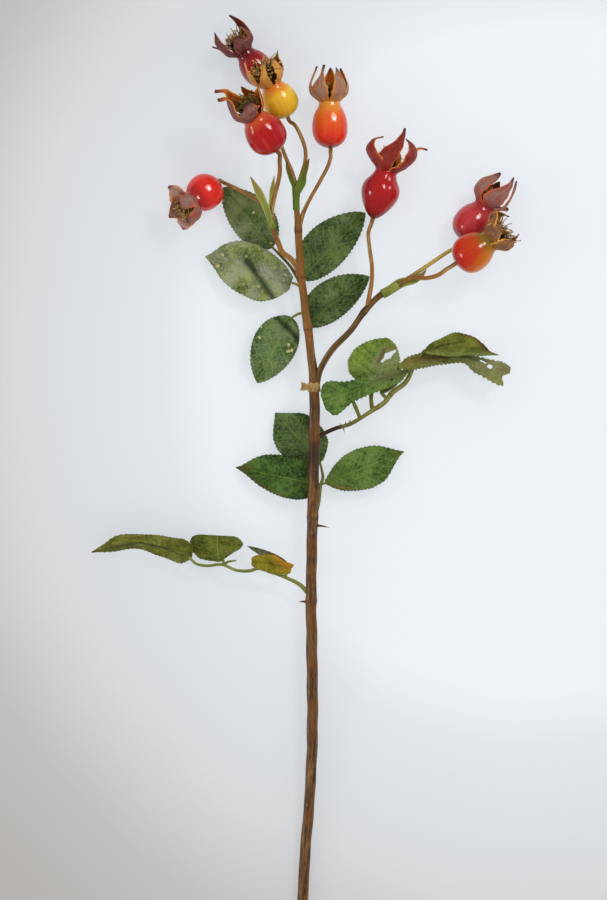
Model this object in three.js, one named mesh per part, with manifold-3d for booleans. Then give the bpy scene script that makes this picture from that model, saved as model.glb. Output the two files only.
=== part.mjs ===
// A rose hip sprig lying on a table, as cut: a woody cane, its flowering shoots with eight hips on
// slender stalks, and four compound leaves. Each hip carries a calyx of five sepals round a tuft of
// dried stamens.
//
// Millimetres. +X is across the sprig, +Y runs up the cane from the cut end to the hips, +Z is up and
// the table is z = 0. The origin is at the middle of the sprig's footprint.

import * as THREE from "three";
import { mergeGeometries, mergeVertices } from "three/addons/utils/BufferGeometryUtils.js";
import Module from "manifold-3d";

// ---- Driving dimensions ----

const CANE_LOW_Y = -223; // the cut end
const CANE_LOW_Z = 2.75; // the cane's own radius there, so the cut end rests on the table
const CANE_RISE = 0.0445; // the hips prop the cane up: its rise for each millimetre along Y
const GAP = 0.3; // between two pieces that meet
const WELD = 0.01; // corners nearer than this are one corner
const LEAF_THICKNESS = 0.7;
const SEPAL_THICKNESS = 0.8;
const SEPAL_CUP = 0.35; // how far a sepal's edges curl in, as a share of its half width
const BRACT_THICKNESS = 0.6;
const SLEEVE_WALL = 0.7; // of a bract's or a stipule's wrap round its stem
const NECK_SHARE = 0.57; // a hip's neck radius, as a share of its widest radius
const SEPAL_STEPS = 5;
const STAMEN_RADIUS = 3.3;
const STAMEN_HEIGHT = 9;
const CALYX_INNER = STAMEN_RADIUS + GAP; // the ring on which the sepals stand
const CALYX_OUTER = CALYX_INNER + 1.8;
const CALYX_TOP = 1.6;

const wasm = await Module();
wasm.setup();

/** The height of the cane's centre line above the table at a place along it. */
const caneHeight = (y) => CANE_LOW_Z + CANE_RISE * (y - CANE_LOW_Y);

// ---- Solids ----

/**
 * A skin over rings of points, capped at the ends named. Each ring runs anticlockwise about the way
 * the rings follow.
 */
function loft(rings, caps = [0, rings.length - 1]) {
  const count = rings[0].length;
  const positions = rings.flat().flatMap((p) => [p.x, p.y, p.z]);
  const index = [];
  for (let i = 0; i + 1 < rings.length; i++) {
    for (let j = 0; j < count; j++) {
      const next = (j + 1) % count;
      const [a, b] = [i * count + j, i * count + next];
      index.push(a, b, b + count, a, b + count, a + count);
    }
  }
  for (const end of caps) {
    const centre = positions.length / 3;
    const middle = rings[end].reduce((sum, p) => sum.add(p), new THREE.Vector3());
    middle.divideScalar(count);
    positions.push(middle.x, middle.y, middle.z);
    for (let j = 0; j < count; j++) {
      const edge = [end * count + j, end * count + ((j + 1) % count)];
      index.push(centre, ...(end ? edge : edge.reverse()));
    }
  }
  const geometry = new THREE.BufferGeometry();
  geometry.setAttribute("position", new THREE.Float32BufferAttribute(positions, 3));
  geometry.setIndex(index);
  return geometry;
}

/** A tapering round stem through points [x, y, z, radius], made `extra` thicker all round. */
function limb(points, { sides = 8, steps = 2 * (points.length - 1), extra = 0 } = {}) {
  const curve = new THREE.CatmullRomCurve3(points.map(([x, y, z]) => new THREE.Vector3(x, y, z)));
  const frames = curve.computeFrenetFrames(steps, false);
  const rings = [];
  for (let i = 0; i <= steps; i++) {
    const along = curve.getUtoTmapping(i / steps) * (points.length - 1);
    const before = Math.min(Math.floor(along), points.length - 2);
    const radius = THREE.MathUtils.lerp(points[before][3], points[before + 1][3], along - before) + extra;
    const centre = curve.getPointAt(i / steps);
    rings.push(
      Array.from({ length: sides }, (_, j) => {
        const angle = (2 * Math.PI * j) / sides;
        return centre
          .clone()
          .addScaledVector(frames.normals[i], radius * Math.cos(angle))
          .addScaledVector(frames.binormals[i], radius * Math.sin(angle));
      }),
    );
  }
  return loft(rings);
}

/** A thin curved blade along a spine: reach is how far it spreads and lift how far it rises, at (t, u). */
function blade({ spine, leftAt, reach, lift, thickness, steps, across }) {
  const rings = [];
  for (let i = 0; i <= steps; i++) {
    const t = i / steps;
    const centre = spine.getPoint(t);
    const tangent = spine.getTangent(t);
    const left = leftAt(t, tangent);
    const normal = tangent.clone().cross(left).normalize();
    const at = (u, side) =>
      centre
        .clone()
        .addScaledVector(left, reach(t, u))
        .addScaledVector(normal, lift(t, u) + (side * thickness) / 2);
    const places = Array.from({ length: across + 1 }, (_, j) => 1 - (2 * j) / across);
    rings.push([...places.map((u) => at(u, 1)), ...places.toReversed().map((u) => at(u, -1))]);
  }
  return loft(rings);
}

/** A geometry as a manifold-3d solid. */
function solidOf(geometry) {
  const bare = geometry.clone();
  bare.deleteAttribute("normal");
  bare.deleteAttribute("uv");
  const merged = mergeVertices(bare, 1e-4);
  const vertProperties = merged.attributes.position.array;
  const triVerts = new Uint32Array(merged.index.array);
  return new wasm.Manifold(new wasm.Mesh({ numProp: 3, vertProperties, triVerts }));
}

/** A manifold-3d solid as a geometry: its largest body, where a cut left crumbs, with no sliver edges. */
function geometryOf(solid) {
  const bodies = solid.decompose();
  const largest = bodies.reduce((a, b) => (b.volume() > a.volume() ? b : a));
  const { vertProperties, triVerts } = largest.getMesh();
  const geometry = new THREE.BufferGeometry();
  geometry.setAttribute("position", new THREE.BufferAttribute(vertProperties, 3));
  geometry.setIndex(new THREE.BufferAttribute(triVerts, 1));
  const welded = mergeVertices(geometry, WELD);
  const kept = [];
  for (let i = 0; i < triVerts.length; i += 3) {
    const corners = [0, 1, 2].map((k) => welded.index.getX(i + k));
    if (new Set(corners).size === 3) kept.push(...corners);
  }
  welded.setIndex(kept);
  return welded;
}

/** Several geometries joined, less what the others would meet. */
function joined(parts, cutters = []) {
  const whole = parts.map(solidOf).reduce((a, b) => a.add(b));
  return geometryOf(cutters.map(solidOf).reduce((a, b) => a.subtract(b), whole));
}

// ---- The sprig's own scene graph ----

const sprig = new THREE.Group();

/** Adds one named piece, and returns its mesh. */
function add(name, geometry, { color, roughness }) {
  geometry.computeVertexNormals();
  const material = new THREE.MeshStandardMaterial({ color, roughness, metalness: 0 });
  const mesh = new THREE.Mesh(geometry, material);
  mesh.name = name;
  sprig.add(mesh);
  return mesh;
}

const FINISH = {
  bark: { color: 0x6e4a26, roughness: 0.6 },
  twig: { color: 0x8a6434, roughness: 0.55 },
  greenTwig: { color: 0x6b7534, roughness: 0.6 },
  leaf: { color: 0x44652d, roughness: 0.7 },
  leafUnder: { color: 0x6d752e, roughness: 0.75 },
  leafYellow: { color: 0x9a8a22, roughness: 0.7 },
  bract: { color: 0x7d9644, roughness: 0.6 },
  dryStipule: { color: 0xb58a48, roughness: 0.8 },
  sepal: { color: 0x8c4a34, roughness: 0.6 },
  sepalYellow: { color: 0xb98a35, roughness: 0.6 },
  stamen: { color: 0x4a3216, roughness: 0.9 },
  hipRed: { color: 0xb81c20, roughness: 0.25 },
  hipCrimson: { color: 0xa41c26, roughness: 0.25 },
  hipYellow: { color: 0xd3a92a, roughness: 0.25 },
  hipOrange: { color: 0xe0491f, roughness: 0.25 },
  hipAmber: { color: 0xc93a18, roughness: 0.25 },
};

// ---- Hips: where the stalk meets each one, the way it points, its size and its sepals ----
// A sepal is [its azimuth about the hip's axis, how it bends, its scale]: azimuth 0 is to the right of
// the axis seen from above, and 90 is uppermost. A hip that rests touches the table.

const HIPS = [
  {
    name: "back_red",
    base: [-18.3, 189.9, 0],
    rests: true,
    axis: [-0.6, 0.76, 0.2],
    length: 20,
    radius: 8,
    finish: FINISH.hipCrimson,
    calyx: FINISH.sepal,
    sepals: [
      [12, "upright", 0.95],
      [62, "cupped", 0.85],
      [165, "upright", 0.9],
      [215, "cupped", 0.8],
      [290, "cupped", 0.95],
    ],
  },
  {
    name: "yellow",
    base: [-8.6, 172.4, 18],
    axis: [-0.42, 0.84, 0.34],
    length: 19,
    radius: 9,
    finish: FINISH.hipYellow,
    calyx: FINISH.sepalYellow,
    sepals: [
      [15, "flared", 0.8],
      [92, "triangular", 1.15],
      [170, "upright", 0.95],
      [236, "cupped", 0.9],
      [310, "cupped", 0.9],
    ],
  },
  {
    name: "front_red",
    base: [-13.9, 155, 28.6],
    axis: [-0.53, 0.75, 0.4],
    length: 22,
    radius: 10,
    finish: FINISH.hipRed,
    calyx: FINISH.sepal,
    sepals: [
      [0, "spread", 0.8],
      [52, "folded", 1.15],
      [168, "upright", 1.1],
      [208, "flared", 0.75],
      [305, "cupped", 0.95],
    ],
  },
  {
    name: "orange",
    base: [13, 156.8, 12.6],
    axis: [-0.02, 1, 0.04],
    length: 23.5,
    radius: 9,
    finish: FINISH.hipOrange,
    calyx: FINISH.sepal,
    sepals: [
      [350, "cupped", 1],
      [52, "cupped", 1.02],
      [118, "cupped", 1],
      [186, "cupped", 1],
      [270, "cupped", 1],
    ],
  },
  {
    name: "left_red",
    base: [-45, 141, 0],
    rests: true,
    axis: [-0.6, -0.55, 0.58],
    length: 19.5,
    radius: 9.2,
    finish: FINISH.hipRed,
    calyx: FINISH.sepal,
    sepals: [
      [345, "spread", 0.65],
      [35, "flared", 0.85],
      [112, "hooked", 0.8],
      [178, "spread", 0.75],
      [232, "cupped", 1],
    ],
  },
  {
    name: "crimson",
    base: [34.2, 121.6, 12.4],
    axis: [0.27, 0.96, 0.08],
    length: 25,
    radius: 9.6,
    pear: true,
    finish: FINISH.hipCrimson,
    calyx: FINISH.sepal,
    sepals: [
      [2, "curled", 0.95],
      [65, "upright", 1.12],
      [138, "cupped", 1],
      [188, "hooked", 1.12],
      [290, "upright", 0.95],
    ],
  },
  {
    name: "pink_red",
    base: [78.8, 110.8, 0],
    rests: true,
    axis: [0.56, 0.82, 0.08],
    length: 21,
    radius: 9.8,
    finish: FINISH.hipCrimson,
    calyx: FINISH.sepal,
    sepals: [
      [350, "flared", 0.72],
      [45, "upright", 0.9],
      [112, "upright", 0.85],
      [182, "cupped", 1],
      [262, "cupped", 0.95],
    ],
  },
  {
    name: "amber",
    base: [75.6, 98.9, 22.6],
    axis: [0.81, 0.53, 0.22],
    length: 21,
    radius: 9.7,
    finish: FINISH.hipAmber,
    calyx: FINISH.sepalYellow,
    sepals: [
      [340, "cupped", 0.87],
      [60, "hooked", 0.82],
      [128, "upright", 0.85],
      [194, "spread", 0.52],
      [262, "cupped", 0.92],
    ],
  },
];

/** A hip's outline from the stalk to the neck, as shares of its length and of its widest radius. */
const ROUND_OUTLINE = [
  [0, 0.13],
  [0.03, 0.4],
  [0.12, 0.74],
  [0.27, 0.95],
  [0.45, 1],
  [0.62, 0.95],
  [0.78, 0.81],
  [0.91, 0.62],
  [1, NECK_SHARE],
];
const PEAR_OUTLINE = [
  [0, 0.12],
  [0.05, 0.3],
  [0.17, 0.58],
  [0.36, 0.87],
  [0.55, 1],
  [0.7, 0.93],
  [0.84, 0.7],
  [0.94, 0.58],
  [1, NECK_SHARE],
];
const outlineOf = ({ pear, length, radius }) =>
  (pear ? PEAR_OUTLINE : ROUND_OUTLINE).map(([y, r]) => new THREE.Vector2(r * radius, y * length));

// A hip that rests has its stalk end at the height that brings its lowest side on to the table.
for (const hip of HIPS.filter(({ rests }) => rests)) {
  const axis = new THREE.Vector3(...hip.axis).normalize();
  const level = Math.hypot(axis.x, axis.y);
  hip.base[2] = Math.max(...outlineOf(hip).map(({ x, y }) => x * level - y * axis.z));
}

// ---- Stems: each a list of [x, y, z, radius] ----

const canePoint = (x, y, radius) => [x, y, caneHeight(y), radius];

const CANE = [
  canePoint(-1, CANE_LOW_Y, 2.75),
  canePoint(0.3, -197, 2.7),
  canePoint(2.6, -168, 2.65),
  canePoint(4, -135, 2.75),
  canePoint(3.8, -102, 2.8),
  canePoint(3.3, -69, 2.7),
  canePoint(4.1, -25, 2.7),
  canePoint(5, 18, 2.7),
  canePoint(4.8, 38, 2.5),
  canePoint(3.4, 53, 2.1),
  canePoint(0.4, 76, 2.05),
  canePoint(-2, 96, 1.85),
  canePoint(-3.1, 116, 1.75),
  canePoint(-4, 128, 1.3),
  canePoint(-4, 139, 1.3),
];

const CANE_MESH = { sides: 10, steps: 26 };

/** A prickle: a short cone out of a stem, hooked a little. */
const prickle = ([x, y, z], [dx, dy, dz], length, radius) =>
  limb(
    [
      [x, y, z, radius],
      [x + dx * length * 0.55, y + dy * length * 0.55, z + dz * length * 0.55, radius * 0.5],
      [x + dx * length, y + dy * length - length * 0.1, z + dz * length, radius * 0.15],
    ],
    { sides: 6, steps: 3 },
  );

add(
  "main_stem",
  joined([
    limb(CANE, CANE_MESH),
    prickle([5, -32, caneHeight(-32)], [1, 0, 0.15], 4.8, 1.1),
    prickle([2.4, -70.5, caneHeight(-70.5)], [-1, 0.2, 0.1], 5, 1.3),
  ]),
  FINISH.bark,
);

/** The same stem, with its last point moved on to a hip's axis, just short of the hip. */
function reaching(points, name) {
  const hip = HIPS.find((h) => h.name === name);
  const axis = new THREE.Vector3(...hip.axis).normalize();
  const onAxis = (back, radius) => [
    ...new THREE.Vector3(...hip.base).addScaledVector(axis, -back).toArray(),
    radius,
  ];
  const radius = points.at(-1)[3];
  return [...points.slice(0, -1), onAxis(3, radius), onAxis(GAP + 0.1, radius)];
}

const LEFT_SHOOT = [
  [-2.5, 93, 16.9, 1.45],
  [-4.3, 97.8, 17.4, 1.4],
  [-7.2, 101.6, 18.2, 1.35],
  [-11, 104.5, 19.2, 1.3],
  [-13.4, 110, 20.3, 1.25],
  [-16, 116.5, 21.4, 1.2],
  [-17, 123.3, 22, 1.2],
];

const RIGHT_SHOOT = [
  [5.6, 38, 14.5, 1.7],
  [7.8, 45.7, 15.4, 1.6],
  [13.7, 55.7, 16.2, 1.55],
  [23.3, 65.8, 16.5, 1.5],
  [30.2, 75.2, 16.3, 1.5],
  [37.7, 83, 15.9, 1.4],
  [42.7, 85.6, 15.6, 1.3],
  [50, 90.4, 15, 1.15],
  [60.3, 97.2, 13.4, 1],
  [70, 103.8, 11.2, 1],
  [78.6, 110.6, 9.4, 0.95],
];

const STALKS = {
  back_red: [
    [-4.3, 138, 18.8, 1.1],
    [-6.7, 145.7, 18, 1.05],
    [-9.3, 151.8, 16.6, 1],
    [-12.4, 160.5, 13.6, 1],
    [-15.4, 172, 9.8, 0.95],
    [-17.6, 184, 7.2, 0.95],
    [-18.6, 190.4, 6.4, 0.9],
  ],
  yellow: [
    [-3, 138.4, 18.9, 1.15],
    [-1.1, 144.4, 19.2, 1.1],
    [0.4, 150, 19.3, 1.05],
    [0.4, 155.5, 19.2, 1],
    [-1.4, 161.5, 18.9, 1],
    [-5, 168.3, 18.3, 0.95],
    [-8.3, 172.6, 18, 0.95],
  ],
  front_red: [
    [-16.9, 122.5, 22.2, 1.15],
    [-15.6, 129.3, 23.6, 1.15],
    [-13.9, 136, 25.2, 1.1],
    [-12.3, 144, 27.2, 1.1],
    [-12.4, 150, 28.6, 1.1],
    [-14, 155.4, 29.5, 1.1],
  ],
  orange: [
    [-2.8, 115.5, 17.9, 1.2],
    [-1.1, 122.8, 17.8, 1.1],
    [2, 129.8, 17.2, 1],
    [8.6, 141.6, 15.4, 0.95],
    [12, 148.4, 14, 0.95],
    [13.2, 153, 13, 0.95],
    [13.2, 157.4, 12.6, 0.95],
  ],
  left_red: [
    [-17, 122.5, 22, 1.15],
    [-21.2, 128.4, 21, 1.1],
    [-27.3, 132.8, 18.4, 1.05],
    [-34.5, 136.7, 14.4, 1],
    [-40.4, 139.6, 10.6, 0.95],
    [-44.6, 141.3, 7.4, 0.9],
  ],
  crimson: [
    [31.2, 75.8, 16.2, 1.3],
    [32.4, 82.6, 16, 1.15],
    [33.6, 90, 15.4, 1.1],
    [33.7, 98, 14.6, 1.05],
    [32.5, 107, 13.6, 1],
    [32, 114.5, 12.8, 1],
    [33.6, 121.6, 12.4, 1],
  ],
  amber: [
    [48.8, 89.4, 15.1, 1.2],
    [53.3, 91.9, 16, 1.15],
    [60.5, 91.6, 18, 1.1],
    [66.6, 93, 20, 1.1],
    [71, 96, 21.6, 1.05],
    [75.6, 98.8, 22.6, 1],
  ],
};

const CANE_CUTTER = limb(CANE, { ...CANE_MESH, extra: GAP });
const LEFT_SHOOT_CUTTER = limb(LEFT_SHOOT, { extra: GAP });
const RIGHT_SHOOT_CUTTER = limb(RIGHT_SHOOT, { extra: GAP });

add("left_shoot", joined([limb(LEFT_SHOOT)], [CANE_CUTTER]), FINISH.twig);
add("right_shoot", joined([limb(reaching(RIGHT_SHOOT, "pink_red"))], [CANE_CUTTER]), FINISH.twig);

// ---- Hips' own shapes ----

/** How a sepal bends, as [out from the hip's axis, along it] from the neck to the tip. */
const SEPAL_HABITS = {
  cupped: [[4.8, 1], [8.6, 3.4], [9.3, 7], [7.6, 11.6], [5.8, 16]],
  upright: [[4.8, 1], [8.2, 3.6], [8.8, 8], [8, 13.5], [6, 19]],
  flared: [[4.8, 1], [8.6, 3.4], [10, 7.6], [11.4, 12], [14.6, 16.5]],
  curled: [[4.8, 1], [8.8, 3.6], [10.4, 9], [12.6, 14], [17, 14.6]],
  hooked: [[4.8, 1], [8.8, 3.4], [9.8, 7.4], [8.6, 11.2], [5.6, 11.8]],
  folded: [[4.8, 1], [8.6, 3.4], [9.2, 7], [6.6, 9.8], [2.4, 11]],
  spread: [[4.8, 1], [8.6, 2.8], [12, 4.2], [15, 6], [17.6, 9]],
  triangular: [[4.8, 1], [8.2, 3.4], [8.8, 6.8], [7.8, 10], [6.4, 13.4]],
};
const SEPAL_HALF_WIDTHS = [3, 5, 4.6, 2.4, 0.5];

/** Turns and moves a mesh so that its own +Y is a hip's axis and its +X lies level. */
function setOnHip(mesh, hip, along) {
  const axis = new THREE.Vector3(...hip.axis).normalize();
  const level = new THREE.Vector3(axis.y, -axis.x, 0).normalize();
  const basis = new THREE.Matrix4().makeBasis(level, axis, level.clone().cross(axis));
  mesh.quaternion.setFromRotationMatrix(basis);
  mesh.position.set(...hip.base).addScaledVector(axis, along);
}

/** A hip's body, from its stalk at y = 0 up its axis. */
function hipBody(hip) {
  const foot = new THREE.Vector2(0, 0);
  const head = new THREE.Vector2(0, hip.length);
  return new THREE.LatheGeometry([foot, ...outlineOf(hip), head], 16);
}

/** A point at an azimuth in degrees about the hip's axis, some way out from it and along it. */
function about(azimuth, out, along) {
  const angle = THREE.MathUtils.degToRad(azimuth);
  return new THREE.Vector3(out * Math.cos(angle), along, out * Math.sin(angle));
}

/** A four-sided patch, as two triangles. */
function patch(a, b, c, d) {
  const geometry = new THREE.BufferGeometry().setFromPoints([a, b, c, d]);
  return geometry.setIndex([0, 1, 2, 0, 2, 3]);
}

/** One sepal's cross-sections, from its own sector of the calyx's ring up to its tip. */
function sepalRings([azimuth, habit, scale], before, after) {
  const out = about(azimuth, 1, 0);
  const round = about(azimuth + 90, 1, 0);
  const [[footOut, footUp]] = SEPAL_HABITS[habit];
  const spine = new THREE.CatmullRomCurve3(
    SEPAL_HABITS[habit].map(([r, y]) =>
      out
        .clone()
        .multiplyScalar(footOut + (r - footOut) * scale)
        .setY(footUp + (y - footUp) * scale),
    ),
  );
  const widths = new THREE.SplineCurve(
    SEPAL_HALF_WIDTHS.map((w, i) => new THREE.Vector2(i / (SEPAL_HALF_WIDTHS.length - 1), w)),
  );
  const edges = [azimuth + after, azimuth, azimuth - before];
  const rings = [
    [
      ...edges.map((edge) => about(edge, CALYX_OUTER, CALYX_TOP)),
      ...edges.toReversed().map((edge) => about(edge, CALYX_INNER, CALYX_TOP)),
    ],
  ];
  for (let i = 1; i <= SEPAL_STEPS; i++) {
    const t = 0.12 + (0.88 * i) / SEPAL_STEPS;
    const centre = spine.getPointAt(t);
    const normal = spine.getTangentAt(t).cross(round).normalize();
    const half = Math.max(0.35, widths.getPoint(t).y);
    const room = Math.max(0.8, centre.clone().setY(0).length() - GAP - SEPAL_THICKNESS / 2);
    const at = (u, side) => {
      const slope = Math.tan(THREE.MathUtils.degToRad(Math.min(50, u > 0 ? after : before)));
      const wide = Math.min(half, (room * slope) / (1 + SEPAL_CUP * slope));
      return centre
        .clone()
        .addScaledVector(round, u * wide)
        .addScaledVector(normal, (side * SEPAL_THICKNESS) / 2 - SEPAL_CUP * u * u * wide);
    };
    rings.push([...[1, 0, -1].map((u) => at(u, 1)), ...[-1, 0, 1].map((u) => at(u, -1))]);
  }
  return rings;
}

/** The ring on which the sepals stand, round a hole for the stamens, and the five sepals. */
function calyx({ sepals }) {
  const inOrder = sepals.toSorted((a, b) => a[0] - b[0]);
  const parts = inOrder.flatMap((own, k) => {
    const previous = inOrder.at(k - 1);
    const next = inOrder[(k + 1) % inOrder.length];
    const before = ((own[0] - previous[0] + 360) % 360) / 2;
    const after = ((next[0] - own[0] + 360) % 360) / 2;
    const edges = [own[0] - before, own[0], own[0] + after];
    const walls = [0, 1].flatMap((i) => {
      const [a, b] = [edges[i], edges[i + 1]];
      const [lowOut, highOut] = [[CALYX_OUTER, GAP], [CALYX_OUTER, CALYX_TOP]];
      const [lowIn, highIn] = [[CALYX_INNER, GAP], [CALYX_INNER, CALYX_TOP]];
      return [
        patch(about(a, ...lowOut), about(a, ...highOut), about(b, ...highOut), about(b, ...lowOut)),
        patch(about(a, ...lowIn), about(b, ...lowIn), about(b, ...highIn), about(a, ...highIn)),
        patch(about(a, ...lowOut), about(b, ...lowOut), about(b, ...lowIn), about(a, ...lowIn)),
      ];
    });
    return [...walls, loft(sepalRings(own, before, after), [SEPAL_STEPS])];
  });
  return mergeVertices(mergeGeometries(parts), WELD);
}

/** The tuft of dried stamens: a rough domed plug. */
function stamens() {
  const outline = [
    [0, GAP],
    [0.9, GAP],
    [1, 0.35 * STAMEN_HEIGHT],
    [0.9, 0.7 * STAMEN_HEIGHT],
    [0.6, 0.95 * STAMEN_HEIGHT],
    [0, STAMEN_HEIGHT],
  ];
  return new THREE.LatheGeometry(
    outline.map(([r, y]) => new THREE.Vector2(r * STAMEN_RADIUS, y)),
    8,
  );
}

for (const hip of HIPS) {
  setOnHip(add(`hip_${hip.name}`, hipBody(hip), hip.finish), hip, 0);
  setOnHip(add(`calyx_${hip.name}`, calyx(hip), hip.calyx), hip, hip.length);
  setOnHip(add(`stamens_${hip.name}`, stamens(), FINISH.stamen), hip, hip.length);
}

/** Each stalk is cut where it leaves its stem, and stops just short of its hip. */
const STALK_CUTTERS = {
  back_red: [CANE_CUTTER],
  yellow: [CANE_CUTTER, limb(STALKS.back_red, { extra: GAP })],
  front_red: [LEFT_SHOOT_CUTTER],
  orange: [CANE_CUTTER],
  left_red: [LEFT_SHOOT_CUTTER, limb(STALKS.front_red, { extra: GAP })],
  crimson: [RIGHT_SHOOT_CUTTER],
  amber: [RIGHT_SHOOT_CUTTER],
};
for (const [name, points] of Object.entries(STALKS)) {
  const stalk = limb(reaching(points, name), { sides: 6 });
  add(`stalk_${name}`, joined([stalk], STALK_CUTTERS[name]), FINISH.twig);
}

// ---- Leaves ----

/**
 * A leaflet: base and tip are its midrib's ends, left and right its half widths. roll turns it about
 * its midrib at the base and rollTip at the tip (0 shows its upper face, 180 its under face), bow lifts
 * the midrib's middle, sweep moves it sideways to the left, fold raises the two halves into a V, and
 * belly is where it is widest.
 */
function leaflet({
  base,
  tip,
  left,
  right,
  roll = 0,
  rollTip = roll,
  bow = 2,
  sweep = 0,
  fold = 0.15,
  belly = 0.42,
}) {
  const start = new THREE.Vector3(...base);
  const end = new THREE.Vector3(...tip);
  const chord = end.clone().sub(start);
  const level = new THREE.Vector3(-chord.y, chord.x, 0).normalize();
  const up = chord.clone().normalize().cross(level);
  const middle = start.clone().lerp(end, 0.5);
  middle.addScaledVector(up, 2 * bow).addScaledVector(level, 2 * sweep);
  const spine = new THREE.QuadraticBezierCurve3(start, middle, end);
  const rise = 0.8;
  const blunt = (rise * belly) / (1 - belly);
  const full = belly ** blunt * (1 - belly) ** rise;
  const spread = (t) => (t ** blunt * (1 - t) ** rise) / full;
  return blade({
    spine,
    leftAt: (t, tangent) => {
      const turn = THREE.MathUtils.degToRad(THREE.MathUtils.lerp(roll, rollTip, t));
      const across = level.clone().multiplyScalar(Math.cos(turn)).addScaledVector(up, Math.sin(turn));
      return across.addScaledVector(tangent, -across.dot(tangent)).normalize();
    },
    reach: (t, u) => u * Math.max(0.4, spread(t) * (u > 0 ? left : right)),
    lift: (t, u) => fold * Math.abs(u) * spread(t) * (u > 0 ? left : right),
    thickness: LEAF_THICKNESS,
    steps: 8,
    across: 2,
  });
}

const LEAFLETS = {
  upper_leaflet_tip: { base: [-16.2, 107.3, 3], tip: [-41.2, 137.6, 2], left: 9.5, right: 12.4, bow: 1 },
  upper_leaflet_far_left: { base: [-6.6, 89.6, 7], tip: [-49.7, 102.8, 4], left: 13.3, right: 13.2 },
  upper_leaflet_near_left: { base: [-6.9, 72.6, 6.5], tip: [-23.6, 39.4, 4], left: 10.3, right: 12 },
  upper_leaflet_far_right: { base: [-1.6, 91.4, 5.6], tip: [30.6, 124.8, 3], left: 13.4, right: 9 },
  upper_leaflet_near_right: { base: [0.4, 68.6, 3.6], tip: [32.6, 92.8, 3], left: 12, right: 7.8 },
  lower_leaflet_tip: {
    base: [8.1, -0.4, 3], tip: [-14.2, 23.8, 2.6], left: 11.2, right: 11.2, bow: 0.5, fold: 0.08,
  },
  lower_leaflet_left: { base: [5.5, -11.2, 6.8], tip: [-33.2, -3, 3], left: 10, right: 10.8, fold: 0.08 },
  lower_leaflet_right: { base: [10.9, -10.8, 5.2], tip: [49.8, 4.8, 3], left: 10.6, right: 10.6 },
  right_leaflet_round: {
    base: [33.4, 34.8, 8.6], tip: [35.4, 61.6, 9.4], left: 13, right: 13.4, bow: 1, belly: 0.5,
  },
  right_leaflet_front: {
    base: [42.6, 38.2, 18.4], tip: [8.4, 31.6, 17.5], left: 10.4, right: 8, bow: 1.5, roll: 12, belly: 0.68,
  },
  right_leaflet_small: {
    base: [43.2, 36.9, 14.4], tip: [47, 49.8, 15.6], left: 6, right: 5.4, roll: -20, bow: 0.5,
  },
  right_leaflet_far: {
    base: [57, 55, 17], tip: [97.4, 53, 15], left: 5.6, right: 13.6, roll: 122, bow: -2, sweep: 3.4,
  },
  right_leaflet_long: {
    base: [53.6, 47.4, 13.4], tip: [101, 43.4, 11], left: 8.8, right: 8.4, roll: 122, rollTip: 142, bow: -1,
    sweep: 4.4, belly: 0.62,
  },
  left_leaflet_yellow: {
    base: [-6.6, -54.6, 12], tip: [-27.4, -50.6, 13.4], left: 4.4, right: 5.4, roll: -30, sweep: -2,
  },
  left_leaflet_grey: {
    base: [-9.2, -50.4, 9.6], tip: [-28.4, -43.6, 8.4], left: 4, right: 3.4, bow: 0.5,
  },
  left_leaflet_middle: {
    base: [-40.4, -49.8, 10], tip: [-45.4, -36.2, 11.5], left: 12, right: 13.2, roll: 168, bow: -1, belly: 0.5,
  },
  left_leaflet_tip: {
    base: [-57.4, -48.2, 9.6], tip: [-106.8, -45.8, 9], left: 10, right: 6, roll: 124, sweep: -4.8,
    belly: 0.3,
  },
};
const UNDER_FACES = ["right_leaflet_far", "right_leaflet_long", "left_leaflet_middle", "left_leaflet_tip"];

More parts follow.
